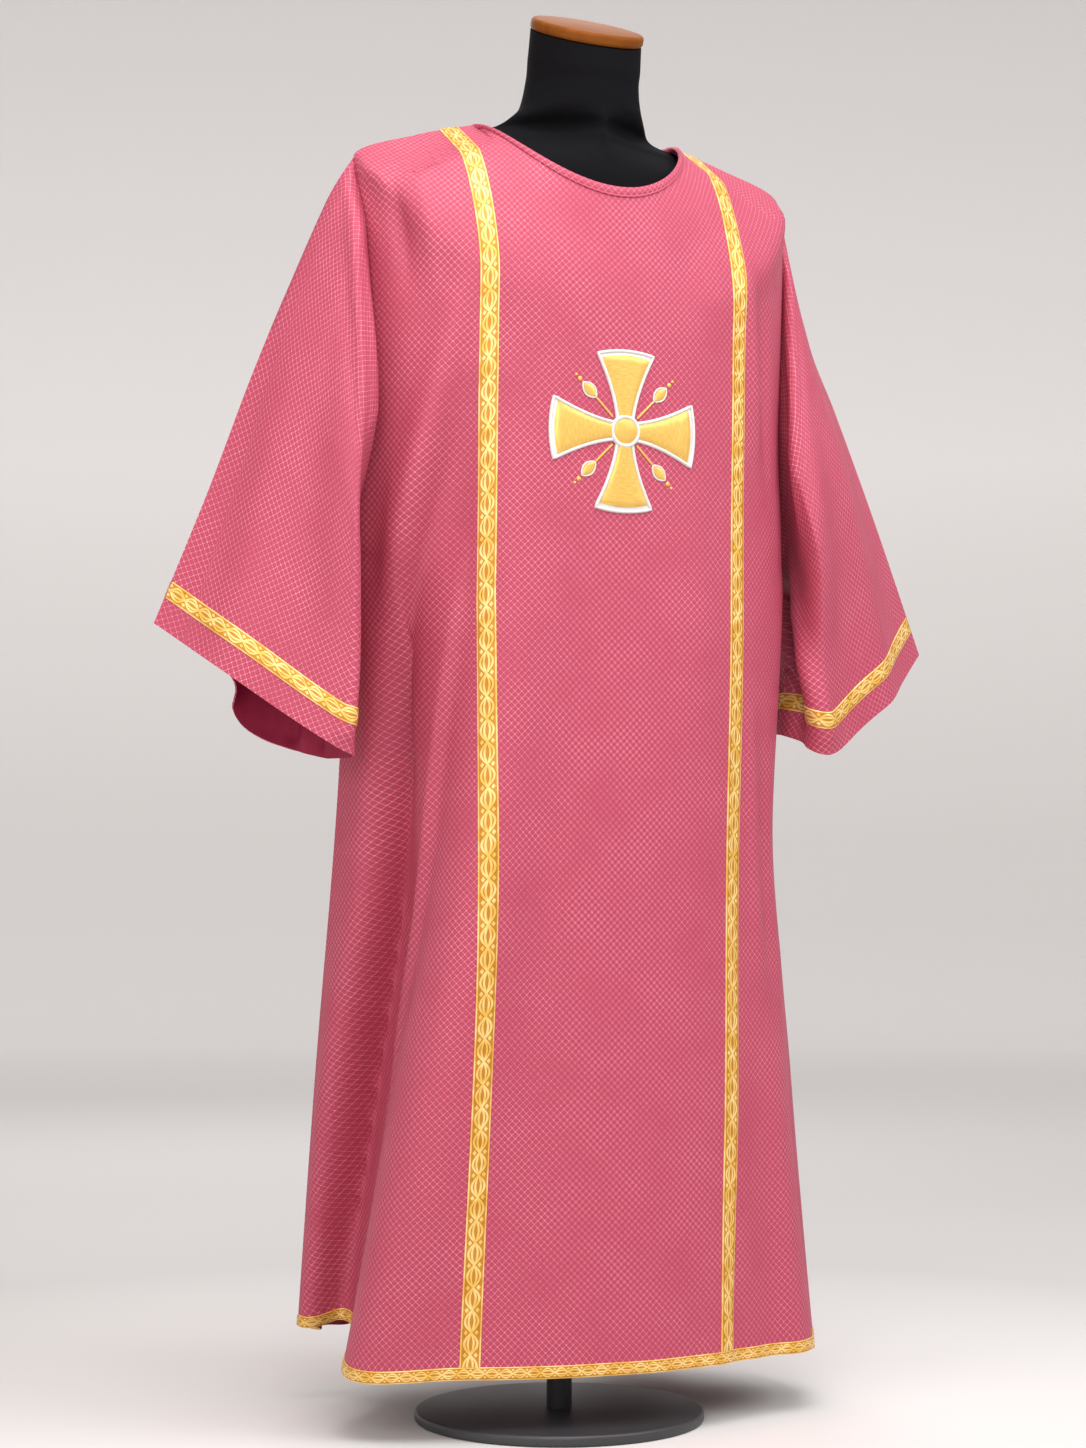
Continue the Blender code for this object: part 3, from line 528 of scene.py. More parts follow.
def flattened(grid, ring):
    # the sheet laid out flat, in metres: its threads keep their length as near as the folds allow
    grid = joined(grid) if ring else grid
    rows, columns = grid.shape[:2]
    r = np.unique(np.linspace(0, rows - 1, cut["rows"]).round().astype(int))
    c = np.unique(np.linspace(0, columns - 1, cut["columns"]).round().astype(int))
    small = grid[np.ix_(r, c)]
    run = runOf(small if ring else small[..., :2], axis=1)
    across = run - run[:, len(c) // 2][:, None]
    if ring:
        drop = np.linalg.norm(np.diff(small, axis=0), axis=2)
        up = np.cumsum(drop[::-1], axis=0)[::-1]
        up = np.concatenate([up, np.zeros((1, len(c)))])
    else:
        up = small[:, :, 2]
    flat = np.stack([across, up], axis=2)
    slices = [
        (np.s_[:, 1:], np.s_[:, :-1]),
        (np.s_[1:], np.s_[:-1]),
        (np.s_[1:, 1:], np.s_[:-1, :-1]),
        (np.s_[1:, :-1], np.s_[:-1, 1:]),
    ]
    rest = [np.linalg.norm(small[a] - small[b], axis=2) for a, b in slices]
    for _round in range(cut["rounds"]):
        pull = np.zeros_like(flat)
        for (a, b), length in zip(slices, rest):
            gap = flat[a] - flat[b]
            far = np.linalg.norm(gap, axis=2)
            step = gap * ((1 - length / np.maximum(far, 1e-9)) * 0.5)[..., None]
            pull[a] -= step
            pull[b] += step
        flat += pull * cut["ease"]
    columnsDone = np.stack([placed(np.arange(columns), c, row) for row in flat])
    full = np.stack([placed(np.arange(rows), r, columnsDone[:, k]) for k in range(columns)], axis=1)
    full[..., 1] -= full[-1, columns // 2, 1]
    return full


def sheetOf(grid, ring=False, flip=False):
    return {"grid": grid, "ring": ring, "flip": flip, "uv": flattened(grid, ring)}


def creased(sheet, creases, calm):
    # soft troughs and ridges along paths on the flat cut; calm keeps the sewn edges where they are
    across, up = sheet["uv"][..., 0], sheet["uv"][..., 1]
    if sheet["ring"]:
        across, up = across[:, :-1], up[:, :-1]
    lift = np.zeros(across.shape)
    for width, lean, *spots in creases:
        width, spots = width / 1000, np.array(spots) / 1000
        knots = np.arange(len(spots))
        fine = np.linspace(0, knots[-1], 6 * knots[-1] + 1)
        path = np.stack([onCurve(fine, knots, spots[:, k]) for k in range(3)], axis=1)
        best = np.full(across.shape, np.inf)
        off, depth = np.zeros(across.shape), np.zeros(across.shape)
        for (x0, z0, d0), (x1, z1, d1) in zip(path, path[1:]):
            runX, runZ = x1 - x0, z1 - z0
            far = math.hypot(runX, runZ)
            along = np.clip(((across - x0) * runX + (up - z0) * runZ) / far**2, 0, 1)
            gapX, gapZ = across - x0 - along * runX, up - z0 - along * runZ
            gap = np.hypot(gapX, gapZ)
            near = gap < best
            best = np.where(near, gap, best)
            off = np.where(near, np.sign(gapX * runZ - gapZ * runX) * gap, off)
            depth = np.where(near, d0 + (d1 - d0) * along, depth)
        off = off * np.where(off > 0, 1 + lean, 1 - lean)
        lift += depth * np.exp(-((off / width) ** 2))
    sheet["grid"] += sheet["normals"] * (lift * calm)[..., None]


def partOf(sheet, rowAt, columnAt):
    # the sheet again at other rows and columns, given as fractions of its own; columns may differ by row
    columnAt = np.broadcast_to(columnAt, (len(rowAt), np.shape(columnAt)[-1]))

    def taken(values, ring):
        values = joined(values) if ring else values
        r0 = np.clip(np.floor(rowAt).astype(int), 0, values.shape[0] - 2)[:, None]
        c0 = np.clip(np.floor(columnAt).astype(int), 0, values.shape[1] - 2)
        fr, fc = (rowAt[:, None] - r0)[..., None], (columnAt - c0)[..., None]
        top = values[r0, c0] * (1 - fc) + values[r0, c0 + 1] * fc
        low = values[r0 + 1, c0] * (1 - fc) + values[r0 + 1, c0 + 1] * fc
        return top * (1 - fr) + low * fr

    return {
        "grid": taken(sheet["grid"], sheet["ring"]),
        "normals": unit(taken(sheet["normals"], sheet["ring"])),
        "uv": taken(sheet["uv"], False),
        "ring": False,
        "flip": sheet["flip"],
    }


def quadsOf(rows, columns, wrapRows=False, wrapColumns=False):
    # the four corners of each face of a grid of points
    down, across = rows if wrapRows else rows - 1, columns if wrapColumns else columns - 1
    r, c = np.meshgrid(np.arange(down), np.arange(across), indexing="ij")
    after, right = (r + 1) % rows, (c + 1) % columns
    return [r * columns + c, after * columns + c, after * columns + right, r * columns + right]


def stacked(corners):
    return np.stack([corner.ravel() for corner in corners], axis=1)


def pieceOf(name, points, faces, materials, uv=None, sharp=None):
    # an object from points and faces, smooth but for edges past sharp degrees; its flat cut is its UV map
    mesh = bpy.data.meshes.new(name)
    mesh.from_pydata(np.asarray(points).tolist(), [], faces)
    if uv is not None:
        mesh.uv_layers.new(name="cloth").data.foreach_set("uv", np.asarray(uv).ravel())
    for material in materials:
        mesh.materials.append(material)
    mesh.shade_smooth()
    if sharp:
        mesh.set_sharp_from_angle(angle=math.radians(sharp))
    piece = bpy.data.objects.new(name, mesh)
    bpy.context.scene.collection.objects.link(piece)
    return piece


def wallOf(name, sheet, low, high, materials):
    # a closed wall over the sheet, from low to high along its normals
    grid, normals, ring = sheet["grid"], sheet["normals"], sheet["ring"]
    rows, columns = grid.shape[:2]
    low, high = (np.broadcast_to(np.asarray(x, float), (rows, columns)) for x in (low, high))
    outer = grid + normals * high[..., None]
    inner = grid + normals * low[..., None]
    points = np.concatenate([outer.reshape(-1, 3), inner.reshape(-1, 3)]) - (0, poleBack, 0)
    quads, spots = quadsOf(rows, columns, wrapColumns=ring), quadsOf(rows, sheet["uv"].shape[1])
    if sheet["flip"]:
        quads, spots = quads[::-1], spots[::-1]
        sides = [(2, 3, np.s_[:, :1]), (1, 2, np.s_[-1:]), (0, 1, np.s_[:, -1:]), (3, 0, np.s_[:1])]
    else:
        sides = [(0, 1, np.s_[:, :1]), (1, 2, np.s_[-1:]), (2, 3, np.s_[:, -1:]), (3, 0, np.s_[:1])]
    face, spot = stacked(quads), stacked(spots)
    behind = rows * columns
    faces, uvs = [face, face[:, ::-1] + behind], [spot, spot[:, ::-1]]
    kinds = [0] * len(face) + [1] * len(face)  # face, then lining
    for k, (i, j, where) in enumerate(sides):
        if ring and k in (0, 2):
            continue
        p, q = quads[i][where].ravel(), quads[j][where].ravel()
        s, t = spots[i][where].ravel(), spots[j][where].ravel()
        faces.append(np.stack([q, p, p + behind, q + behind], axis=1))
        uvs.append(np.stack([t, s, s, t], axis=1))
        kinds += [0] * len(p)
    uv = sheet["uv"].reshape(-1, 2)[np.concatenate(uvs).ravel()]
    piece = pieceOf(name, points, np.concatenate(faces).tolist(), materials, uv, sharp=55)
    if len(materials) > 1:
        piece.data.polygons.foreach_set("material_index", kinds)
    return piece


def settle(piece, node):
    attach(piece, "root")
    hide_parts(node)


brocade = {
    "pitch": 0.0076,  # one diamond of the lattice
    "lineEdge": 0.84,  # height of the lattice's wave where a line begins
    "floatEdge": (1.40, 1.94),  # and where a float begins and is whole, both waves together
    "threads": (420.0, 900.0, 1.0),  # a metre: coarser than the real 0.3 mm, so that they show
    "clouds": 14.0,  # a metre: where the lattice fades
    "ground": ("#9C2F48", "#BC4963"),
    "line": "#DE8094",
    "float": "#FBC9D1",
    "floatShare": 0.36,  # how far the floats turn to their own colour
    "shine": 0.08,  # metallic, of the ground, then what lines and floats add
    "lineShine": 0.12,
    "floatShine": 0.36,
    "dull": 0.62,  # roughness of the ground
    "satin": 0.34,  # and of the floats
    "relief": 0.0005,
}


def makeBrocade(name):
    # figured rayon brocade, jacquard woven: a matt twill ground, a thin lattice, and glossy floats where
    # its lines cross
    material, shader = newMaterial(name, IOR=1.5, Specular_Tint=linear("#FFECEF"))
    b = brocade
    place = addNode(material, "ShaderNodeUVMap", uv_map="cloth")
    split = addNode(material, "ShaderNodeSeparateXYZ", {0: place})
    waves = []
    for operation in ("ADD", "SUBTRACT"):
        slant = addNode(
            material, "ShaderNodeMath", {0: split.outputs[0], 1: split.outputs[1]}, operation=operation
        )
        turn = addNode(
            material, "ShaderNodeMath", {0: slant, 1: 2 * math.pi / b["pitch"]}, operation="MULTIPLY"
        )
        waves.append(addNode(material, "ShaderNodeMath", {0: turn}, operation="COSINE"))
    line = addNode(material, "ShaderNodeMath", {0: waves[0], 1: waves[1]}, operation="MAXIMUM")
    line = addNode(material, "ShaderNodeMapRange", {0: line, 1: b["lineEdge"], 2: 1.0}, **smooth)
    knot = addNode(material, "ShaderNodeMath", {0: waves[0], 1: waves[1]}, operation="ADD")
    bare, whole = b["floatEdge"]
    knot = addNode(material, "ShaderNodeMapRange", {0: knot, 1: bare, 2: whole}, **smooth)
    weave = addNode(material, "ShaderNodeMapping", {"Vector": place, "Scale": b["threads"]})
    thread = addNode(material, "ShaderNodeTexNoise", {"Vector": weave, "Scale": 1.0, "Detail": 2.0})
    cloud = addNode(
        material, "ShaderNodeTexNoise", {"Vector": place, "Scale": b["clouds"], "Detail": 3.0}
    )
    dark, light = (linear(shade) for shade in b["ground"])
    ground = addNode(material, "ShaderNodeMix", {0: thread, 6: dark, 7: light}, data_type="RGBA")
    strength = addNode(material, "ShaderNodeMapRange", {0: cloud, 1: 0.3, 2: 0.7, 3: 0.4, 4: 1.0})
    drawn = addNode(material, "ShaderNodeMath", {0: line, 1: strength}, operation="MULTIPLY")
    worn = addNode(material, "ShaderNodeMapRange", {0: thread, 1: 0.35, 2: 0.6, 3: 0.35, 4: 1.1})
    drawn = addNode(material, "ShaderNodeMath", {0: drawn, 1: worn}, operation="MULTIPLY")
    lined = addNode(
        material, "ShaderNodeMix", {0: drawn, 6: ground.outputs[2], 7: linear(b["line"])},
        data_type="RGBA",
    )
    knotted = addNode(material, "ShaderNodeMath", {0: knot, 1: strength}, operation="MULTIPLY")
    pale = addNode(material, "ShaderNodeMath", {0: knotted, 1: b["floatShare"]}, operation="MULTIPLY")
    colour = addNode(
        material, "ShaderNodeMix", {0: pale, 6: lined.outputs[2], 7: linear(b["float"])}, data_type="RGBA"
    )
    links = material.node_tree.links
    links.new(colour.outputs[2], shader.inputs["Base Color"])
    rough = addNode(material, "ShaderNodeMapRange", {0: knotted, 3: b["dull"], 4: b["satin"]})
    links.new(rough.outputs[0], shader.inputs["Roughness"])
    # the floats shine as satin does, with little colour of their own in the shade
    shine = addNode(material, "ShaderNodeMath", {0: drawn, 1: b["lineShine"]}, operation="MULTIPLY")
    shine = addNode(
        material, "ShaderNodeMath", {0: knotted, 1: b["floatShine"], 2: shine}, operation="MULTIPLY_ADD"
    )
    shine = addNode(material, "ShaderNodeMath", {0: shine, 1: b["shine"]}, operation="ADD")
    links.new(shine.outputs[0], shader.inputs["Metallic"])
    height = addNode(material, "ShaderNodeMath", {0: line, 1: 0.4, 2: knot}, operation="MULTIPLY_ADD")
    fuzz = addNode(material, "ShaderNodeMath", {0: thread, 1: 0.6, 2: height}, operation="MULTIPLY_ADD")
    bump = addNode(material, "ShaderNodeBump", {"Height": fuzz, "Strength": 0.7, "Distance": b["relief"]})
    links.new(bump.outputs[0], shader.inputs["Normal"])
    return material


def makeFlecked(name, scale, shades, relief=None, onCloth=False, detail=2.0, **sockets):
    # threads, grain or grit: two shades mixed by a fine noise, scale cells a metre, which also stands up by
    # relief (strength, metres)
    material, shader = newMaterial(name, **sockets)
    if onCloth:
        place = addNode(material, "ShaderNodeUVMap", uv_map="cloth").outputs[0]
    else:
        place = addNode(material, "ShaderNodeTexCoord").outputs["Object"]
    spread = addNode(material, "ShaderNodeMapping", {"Vector": place, "Scale": scale})
    noise = addNode(material, "ShaderNodeTexNoise", {"Vector": spread, "Scale": 1.0, "Detail": detail})
    dark, light = (linear(shade) for shade in shades)
    colour = addNode(material, "ShaderNodeMix", {0: noise, 6: dark, 7: light}, data_type="RGBA")
    material.node_tree.links.new(colour.outputs[2], shader.inputs["Base Color"])
    if relief:
        strength, height = relief
        bump = addNode(
            material, "ShaderNodeBump", {"Height": noise, "Strength": strength, "Distance": height}
        )
        material.node_tree.links.new(bump.outputs[0], shader.inputs["Normal"])
    return material


galloon = {  # lengths across are shares of half its width
    "cord": (0.83, 0.88),  # where the edge cords begin and are whole
    "ovals": ((0.64, 0.11), (0.28, 0.10)),  # how far out they reach, how thick they are
    "leafAt": 0.52,
    "leafLean": 0.55,
    "leaf": (0.26, 0.16),
    "threads": 900.0,  # a metre
    "clouds": 60.0,  # a metre: patches of painted sheen, where the gold turns lighter and darker as a metal braid catching the light does
    "ground": ("#A8670C", "#D0922C"),
    "figure": ("#DFAE40", "#FBE3A0"),
    "relief": 0.0004,
}


def makeGalloon(name, width, repeat):
    # woven lurex braid: gold metallic weft floats over a yellow viscose warp, a chain of double ovals with
    # a leaf at each side of their joins, between two cords
    material, shader = newMaterial(name, Roughness=0.4, Metallic=0.25)
    g = galloon
    place = addNode(material, "ShaderNodeUVMap", uv_map="cloth")
    split = addNode(material, "ShaderNodeSeparateXYZ", {0: place})
    half = addNode(material, "ShaderNodeMath", {0: split.outputs[0], 1: 2 / width}, operation="MULTIPLY")
    out = addNode(material, "ShaderNodeMath", {0: half}, operation="ABSOLUTE")
    turn = addNode(
        material, "ShaderNodeMath", {0: split.outputs[1], 1: math.pi / repeat}, operation="MULTIPLY"
    )
    wave = addNode(material, "ShaderNodeMath", {0: turn}, operation="SINE")
    wave = addNode(material, "ShaderNodeMath", {0: wave}, operation="ABSOLUTE")
    start, full = g["cord"]
    raised = addNode(material, "ShaderNodeMapRange", {0: out, 1: start, 2: full}, **smooth)
    for reach, thin in g["ovals"]:
        side = addNode(material, "ShaderNodeMath", {0: wave, 1: -reach, 2: out}, operation="MULTIPLY_ADD")
        gap = addNode(material, "ShaderNodeMath", {0: side}, operation="ABSOLUTE")
        oval = addNode(material, "ShaderNodeMapRange", {0: gap, 1: thin + 0.05, 2: thin - 0.04}, **smooth)
        raised = addNode(material, "ShaderNodeMath", {0: raised, 1: oval}, operation="MAXIMUM")
    side = addNode(material, "ShaderNodeMath", {0: out, 1: g["leafAt"]}, operation="SUBTRACT")
    gap = addNode(material, "ShaderNodeMath", {0: side}, operation="ABSOLUTE")
    lean, (outer, inner) = g["leafLean"], g["leaf"]
    leaf = addNode(material, "ShaderNodeMath", {0: wave, 1: lean, 2: gap}, operation="MULTIPLY_ADD")
    leaf = addNode(material, "ShaderNodeMapRange", {0: leaf, 1: outer, 2: inner}, **smooth)
    raised = addNode(material, "ShaderNodeMath", {0: raised, 1: leaf}, operation="MAXIMUM")
    thread = addNode(
        material, "ShaderNodeTexNoise", {"Vector": place, "Scale": g["threads"], "Detail": 2.0}
    )
    cloud = addNode(
        material, "ShaderNodeTexNoise", {"Vector": place, "Scale": g["clouds"], "Detail": 1.0}
    )
    # painted sheen: the noise patches lighten and darken the gold ground, and with the thread noise the
    # figure too
    sheenPatch = addNode(material, "ShaderNodeMapRange", {0: cloud, 1: 0.38, 2: 0.6, 3: 0.15, 4: 1.25})
    threadAndSheen = addNode(material, "ShaderNodeMath", {0: thread, 1: sheenPatch}, operation="MULTIPLY")
    mixed = []
    for share, shades in ((cloud, g["ground"]), (threadAndSheen, g["figure"])):
        dark, light = (linear(shade) for shade in shades)
        mixed.append(addNode(material, "ShaderNodeMix", {0: share, 6: dark, 7: light}, data_type="RGBA"))
    shade, pale = mixed
    colour = addNode(
        material, "ShaderNodeMix", {0: raised, 6: shade.outputs[2], 7: pale.outputs[2]}, data_type="RGBA"
    )
    links = material.node_tree.links
    links.new(colour.outputs[2], shader.inputs["Base Color"])
    height = addNode(material, "ShaderNodeMath", {0: thread, 1: 0.4, 2: raised}, operation="MULTIPLY_ADD")
    bump = addNode(
        material, "ShaderNodeBump", {"Height": height, "Strength": 0.8, "Distance": g["relief"]}
    )
    links.new(bump.outputs[0], shader.inputs["Normal"])
    return material


rose = makeBrocade("rose brocade")
# plain dyed viscose twill, seen inside the sleeves and behind the neck: softer than the face, and darker,
# which is painted shade for those shaded insides
shadedLining = makeFlecked(
    "rose viscose lining", (500.0,) * 3, ("#861A36", "#A02A49"), relief=(0.3, 0.0002), onCloth=True,
    Roughness=0.6, IOR=1.25,
)
gold = makeGalloon("gold braid, wide", cloth["bandWidth"], repeat=0.024)
goldCuff = makeGalloon("gold braid, cuff", cloth["cuffBand"], repeat=0.021)
goldHem = makeGalloon("gold braid, hem", cloth["hemGalloon"], repeat=0.015)
# rayon and lurex thread laid in satin stitch: fine streaks across the run, glossy along it
stitch = {"scale": (1000.0, 120.0, 1.0), "relief": (0.6, 0.0003), "onCloth": True, "Anisotropic": 0.4}
silver = makeFlecked(
    "silver rayon satin stitch", shades=("#B9B8B6", "#EDECEA"), Metallic=0.1, Roughness=0.42, **stitch
)
gilded = makeFlecked(
    "gold lurex satin stitch", shades=("#C98F2C", "#F6D376"), Metallic=0.3, Roughness=0.38, **stitch
)
# black cotton jersey pulled tight over the form
jersey = makeFlecked(
    "black cotton jersey", (900.0,) * 3, ("#08080A", "#151417"), relief=(0.4, 0.0003),
    Roughness=0.9, Specular_IOR_Level=0.08,
)
# beech stained amber, under a glossy lacquer
wood = makeFlecked(
    "lacquered beech", (12.0, 90.0, 90.0), ("#602E0A", "#8C5220"), detail=4.0, Roughness=0.45, IOR=1.12
)
# steel, powder coated satin black
steel = makeFlecked(
    "powder coated steel", (1200.0,) * 3, ("#2A2A2C", "#3A3A3D"), relief=(0.25, 0.0002), Roughness=0.45
)
print("materials ready")

# Creases as paths on the flat cut, in millimetres. Each has its width, which flank is steeper (lean), and
# its points: across from the middle, up from the hem, how far the cloth stands out (+) or in (-) there.
creases = {
    "front": [
        # near side: the long fold that falls from the armpit, and the hollow behind it
        (28, 0.35, (-160, 1070, 0), (-188, 975, -9), (-218, 885, -18), (-250, 795, -29), (-275, 700, -41),
         (-294, 600, -50), (-314, 500, -55), (-360, 377, -58), (-414, 245, -55), (-472, 108, -49),
         (-520, -20, -43)),
        (16, -0.3, (-180, 900, 0), (-200, 790, 8), (-222, 690, 13), (-238, 611, 17), (-273, 469, 19),
         (-350, 290, 18), (-470, 20, 15)),
        (20, 0, (-170, 1190, 0), (-196, 1090, 8), (-222, 990, 12), (-250, 890, 9), (-275, 800, 0)),
        (20, 0, (-318, 1120, 0), (-312, 1040, 7), (-308, 960, 12), (-308, 880, 12), (-312, 800, 7),
         (-320, 700, 0)),
        (10, 0, (-266, 1290, 0), (-252, 1220, -6), (-236, 1140, 0)),
        (11, 0, (-240, 1300, 0), (-222, 1220, 4), (-208, 1130, 0)),
        (26, 0, (-375, 480, 0), (-420, 320, 6), (-520, 10, 8)),
        # far side
        (14, 0, (164, 1230, 0), (180, 1120, 6), (200, 990, 0)),
        (14, 0, (186, 1200, 0), (204, 1080, -8), (216, 940, 0)),
        (12, 0, (170, 760, 0), (190, 600, 5), (212, 380, 0)),
        (14, 0, (198, 720, 0), (216, 560, -7), (238, 330, 0)),
        (22, 0, (214, 380, 0), (238, 190, 6), (262, -10, 8)),
        (24, 0, (260, 440, 0), (296, 210, -9), (335, -10, -12)),
        (18, 0, (150, 260, 0), (160, 120, -4), (172, -10, -6)),
        # the broad front, almost smooth
        (45, 0, (30, 450, 0), (42, 200, 3), (50, -10, 5)),
        (50, 0, (-60, 560, 0), (-78, 280, -3), (-90, -10, -5)),
        (40, 0, (-45, 960, 0), (-30, 800, -2.5), (-20, 640, 0)),
        (30, 0, (85, 980, 0), (96, 800, 3), (110, 630, 0)),
        (30, 0, (-110, 1290, 0), (-60, 1235, -3), (0, 1215, -2), (60, 1240, 0)),
        (26, 0, (120, 1270, 0), (80, 1190, -2.5), (60, 1120, 0)),
    ],
    "back": [
        (22, 0, (-165, 1260, 0), (-200, 1130, 11), (-245, 980, 0)),
        (16, 0, (-205, 1280, 0), (-236, 1150, -11), (-254, 1040, 0)),
        (26, 0.2, (-140, 1160, 0), (-175, 1010, -10), (-205, 880, -14), (-235, 560, -20),
         (-260, 250, -26), (-280, -10, -28)),
        (20, 0, (170, 1270, 0), (205, 1120, 10), (236, 980, 0)),
        (15, 0, (206, 1280, 0), (234, 1150, -10), (256, 1020, 0)),
        (28, 0.2, (150, 1130, 0), (182, 980, -9), (208, 820, -13), (232, 560, -18), (270, 260, -24),
         (300, -10, -26)),
        (24, 0.3, (-110, 960, 0), (-130, 640, 10), (-152, 300, 16), (-172, -10, 18)),
        (22, 0, (-50, 860, 0), (-62, 560, -9), (-80, 260, -15), (-88, -10, -18)),
        (26, 0, (12, 760, 0), (14, 480, 8), (20, 220, 13), (24, -10, 15)),
        (24, 0.2, (66, 930, 0), (80, 620, -10), (96, 280, -16), (104, -10, -19)),
        (24, -0.2, (120, 1000, 0), (142, 700, 9), (170, 340, 14), (190, -10, 16)),
        (40, 0, (-80, 1340, 0), (-30, 1270, -4), (30, 1265, -4), (90, 1330, 0)),
        (26, 0, (70, 1300, 0), (84, 1180, 3.5), (98, 1060, 0)),
        (24, 0, (-88, 1310, 0), (-100, 1190, 3), (-112, 1070, 0)),
    ],
    "right": [
        (10, 0, (0, 505, 0), (50, 465, 4), (105, 418, 6), (155, 375, 6), (201, 329, 5), (238, 260, 4),
         (240, 151, 5), (250, -10, 6)),
        (34, 0, (100, 400, 0), (130, 250, -4), (172, 60, -6), (180, -10, -6)),
        (30, 0, (40, 400, 0), (60, 240, 4), (86, 50, 5), (90, -10, 4)),
        (26, 0, (-50, 440, 0), (-80, 260, 7), (-112, 40, 9), (-120, -10, 9)),
        (30, 0, (-120, 390, 0), (-155, 220, -10), (-190, 20, -13), (-196, -10, -13)),
        (22, 0, (-225, 300, 0), (-248, 160, 8), (-272, -10, 10)),
        (9, 0, (-300, 140, 0), (-304, 70, 6), (-308, -10, 7)),
        (10, 0, (-328, 150, 0), (-332, 80, -6), (-336, -10, -7)),
        (9, 0, (-358, 130, 0), (-362, 60, 5), (-366, -10, 6)),
        (24, 0, (340, 160, 0), (348, 80, -5), (354, -10, -6)),
    ],
    "left": [
        (11, 0, (30, 490, 0), (94, 443, 4), (142, 405, 6), (183, 363, 7), (219, 318, 6), (249, 271, 4),
         (264, 221, 0)),
        (18, 0, (330, 235, 0), (312, 175, 8), (283, 120, 14), (252, 55, 13), (236, -10, 8)),
        (24, -0.3, (380, 190, 0), (352, 135, -34), (318, 80, -44), (292, 30, -24), (280, -10, -10)),
        (40, 0, (120, 400, 0), (150, 260, -4), (180, 80, -6), (186, -10, -5)),
        (30, 0, (70, 360, 0), (92, 220, 4), (114, 30, 5), (118, -10, 5)),
        (26, 0, (-50, 430, 0), (-78, 260, 7), (-104, 40, 9), (-110, -10, 9)),
        (30, 0, (-120, 380, 0), (-150, 220, -10), (-184, 20, -12), (-190, -10, -12)),
        (22, 0, (-220, 300, 0), (-240, 160, 8), (-264, -10, 10)),
        (24, 0, (-312, 160, 0), (-322, 80, -8), (-330, -10, -10)),
    ],
}


def edgeCalm(sheet):
    # 0 on sewn edges, 1 a little way inside
    reach = cloth["edgeCalm"]
    calm = eased(runOf(sheet["grid"]) / reach)
    if not sheet["ring"]:
        side = runOf(sheet["grid"], axis=1)
        calm = calm * eased(side / reach) * eased((side[:, -1:] - side) / reach)
    return calm


frontGrid, backGrid = panelGrid("front"), panelGrid("back")
sewn(frontGrid, backGrid)
arm = slice(0, armpitRow + 1)
sheets = {
    "front": sheetOf(frontGrid),
    "back": sheetOf(backGrid, flip=True),
    "right": sheetOf(sleeveGrid("right", frontGrid[arm, 0], backGrid[arm, 0]), ring=True),
    "left": sheetOf(sleeveGrid("left", frontGrid[arm, -1], backGrid[arm, -1]), ring=True, flip=True),
}
for name, sheet in sheets.items():
    sheet["normals"] = normalsOf(sheet["grid"], sheet["ring"], sheet["flip"])
    creased(sheet, creases[name], edgeCalm(sheet))
    sheet["normals"] = normalsOf(sheet["grid"], sheet["ring"], sheet["flip"])
print("cloth worked out")


def shareNormals():
    # pieces that meet at a seam lean the same way there, so their walls meet too
    front, back = sheets["front"]["normals"], sheets["back"]["normals"]
    neck = middle - neckColumns + 1
    for spot in (np.s_[0, :neck], np.s_[0, -neck:], np.s_[armpitRow:, 0], np.s_[armpitRow:, -1]):
        front[spot] = back[spot] = unit(front[spot] + back[spot])
    for edge, half in ((0, "right"), (-1, "left")):
        sleeve = sheets[half]["normals"]
        around = np.concatenate([front[:armpitRow, edge], back[armpitRow:0:-1, edge]])
        both = unit(around + np.roll(sleeve[0], armpitRow, axis=0))
        sleeve[0] = np.roll(both, -armpitRow, axis=0)
        front[:armpitRow, edge] = both[:armpitRow]
        front[armpitRow, edge] = both[armpitRow]
        back[armpitRow:0:-1, edge] = both[armpitRow:]
        back[0, edge] = both[0]


shareNormals()
face = cloth["thick"] / 2
nodes = {"front": "front_panel", "back": "back_panel", "right": "sleeve_right", "left": "sleeve_left"}
pieces = {}
for name, node in nodes.items():
    pieces[name] = wallOf(node.replace("_", "-") + "-cloth", sheets[name], -face, face, [rose, shadedLining])
    settle(pieces[name], node)
print("cloth made:", [len(p.data.polygons) for p in pieces.values()])


trim = {
    "lift": 0.0001,  # above the cloth's face
    "thick": 0.0012,
    "fall": 0.55,  # share of its thickness that it loses at its edges
    "cord": 0.00025,  # how much the two edge cords stand up
    "cordAt": 0.9,  # of the way out from the middle
    "cordWide": 0.06,
    "across": 14,
    "along": {"band": 340, "hem": 380, "cuff": 360},
}


def braid(name, sheet, rowAt, columnAt, width, lengthwise, materials, node):
    # a strip of braid on a sheet, rounded over its edges, with a raised cord along each
    strip = partOf(sheet, rowAt, columnAt)
    grid = strip["grid"]
    centre = grid[:, grid.shape[1] // 2] if lengthwise else grid[grid.shape[0] // 2]
    run = runOf(centre)
    spread = np.linspace(-1, 1, grid.shape[1 if lengthwise else 0])
    out = np.abs(spread)
    height = face + trim["lift"] + trim["thick"] * (1 - trim["fall"] * out**8)
    height = height + trim["cord"] * np.exp(-(((out - trim["cordAt"]) / trim["cordWide"]) ** 2))
    across, along = spread * width / 2, run
    if lengthwise:
        strip["uv"] = np.stack(np.meshgrid(across, along), axis=2)
        high = np.broadcast_to(height, grid.shape[:2])
    else:
        along, across = np.meshgrid(along, across)
        strip["uv"] = np.stack([across, along], axis=2)
        high = np.broadcast_to(height[:, None], grid.shape[:2])
    piece = wallOf(name, strip, face + trim["lift"] / 2, high, materials)
    settle(piece, node)
    return piece


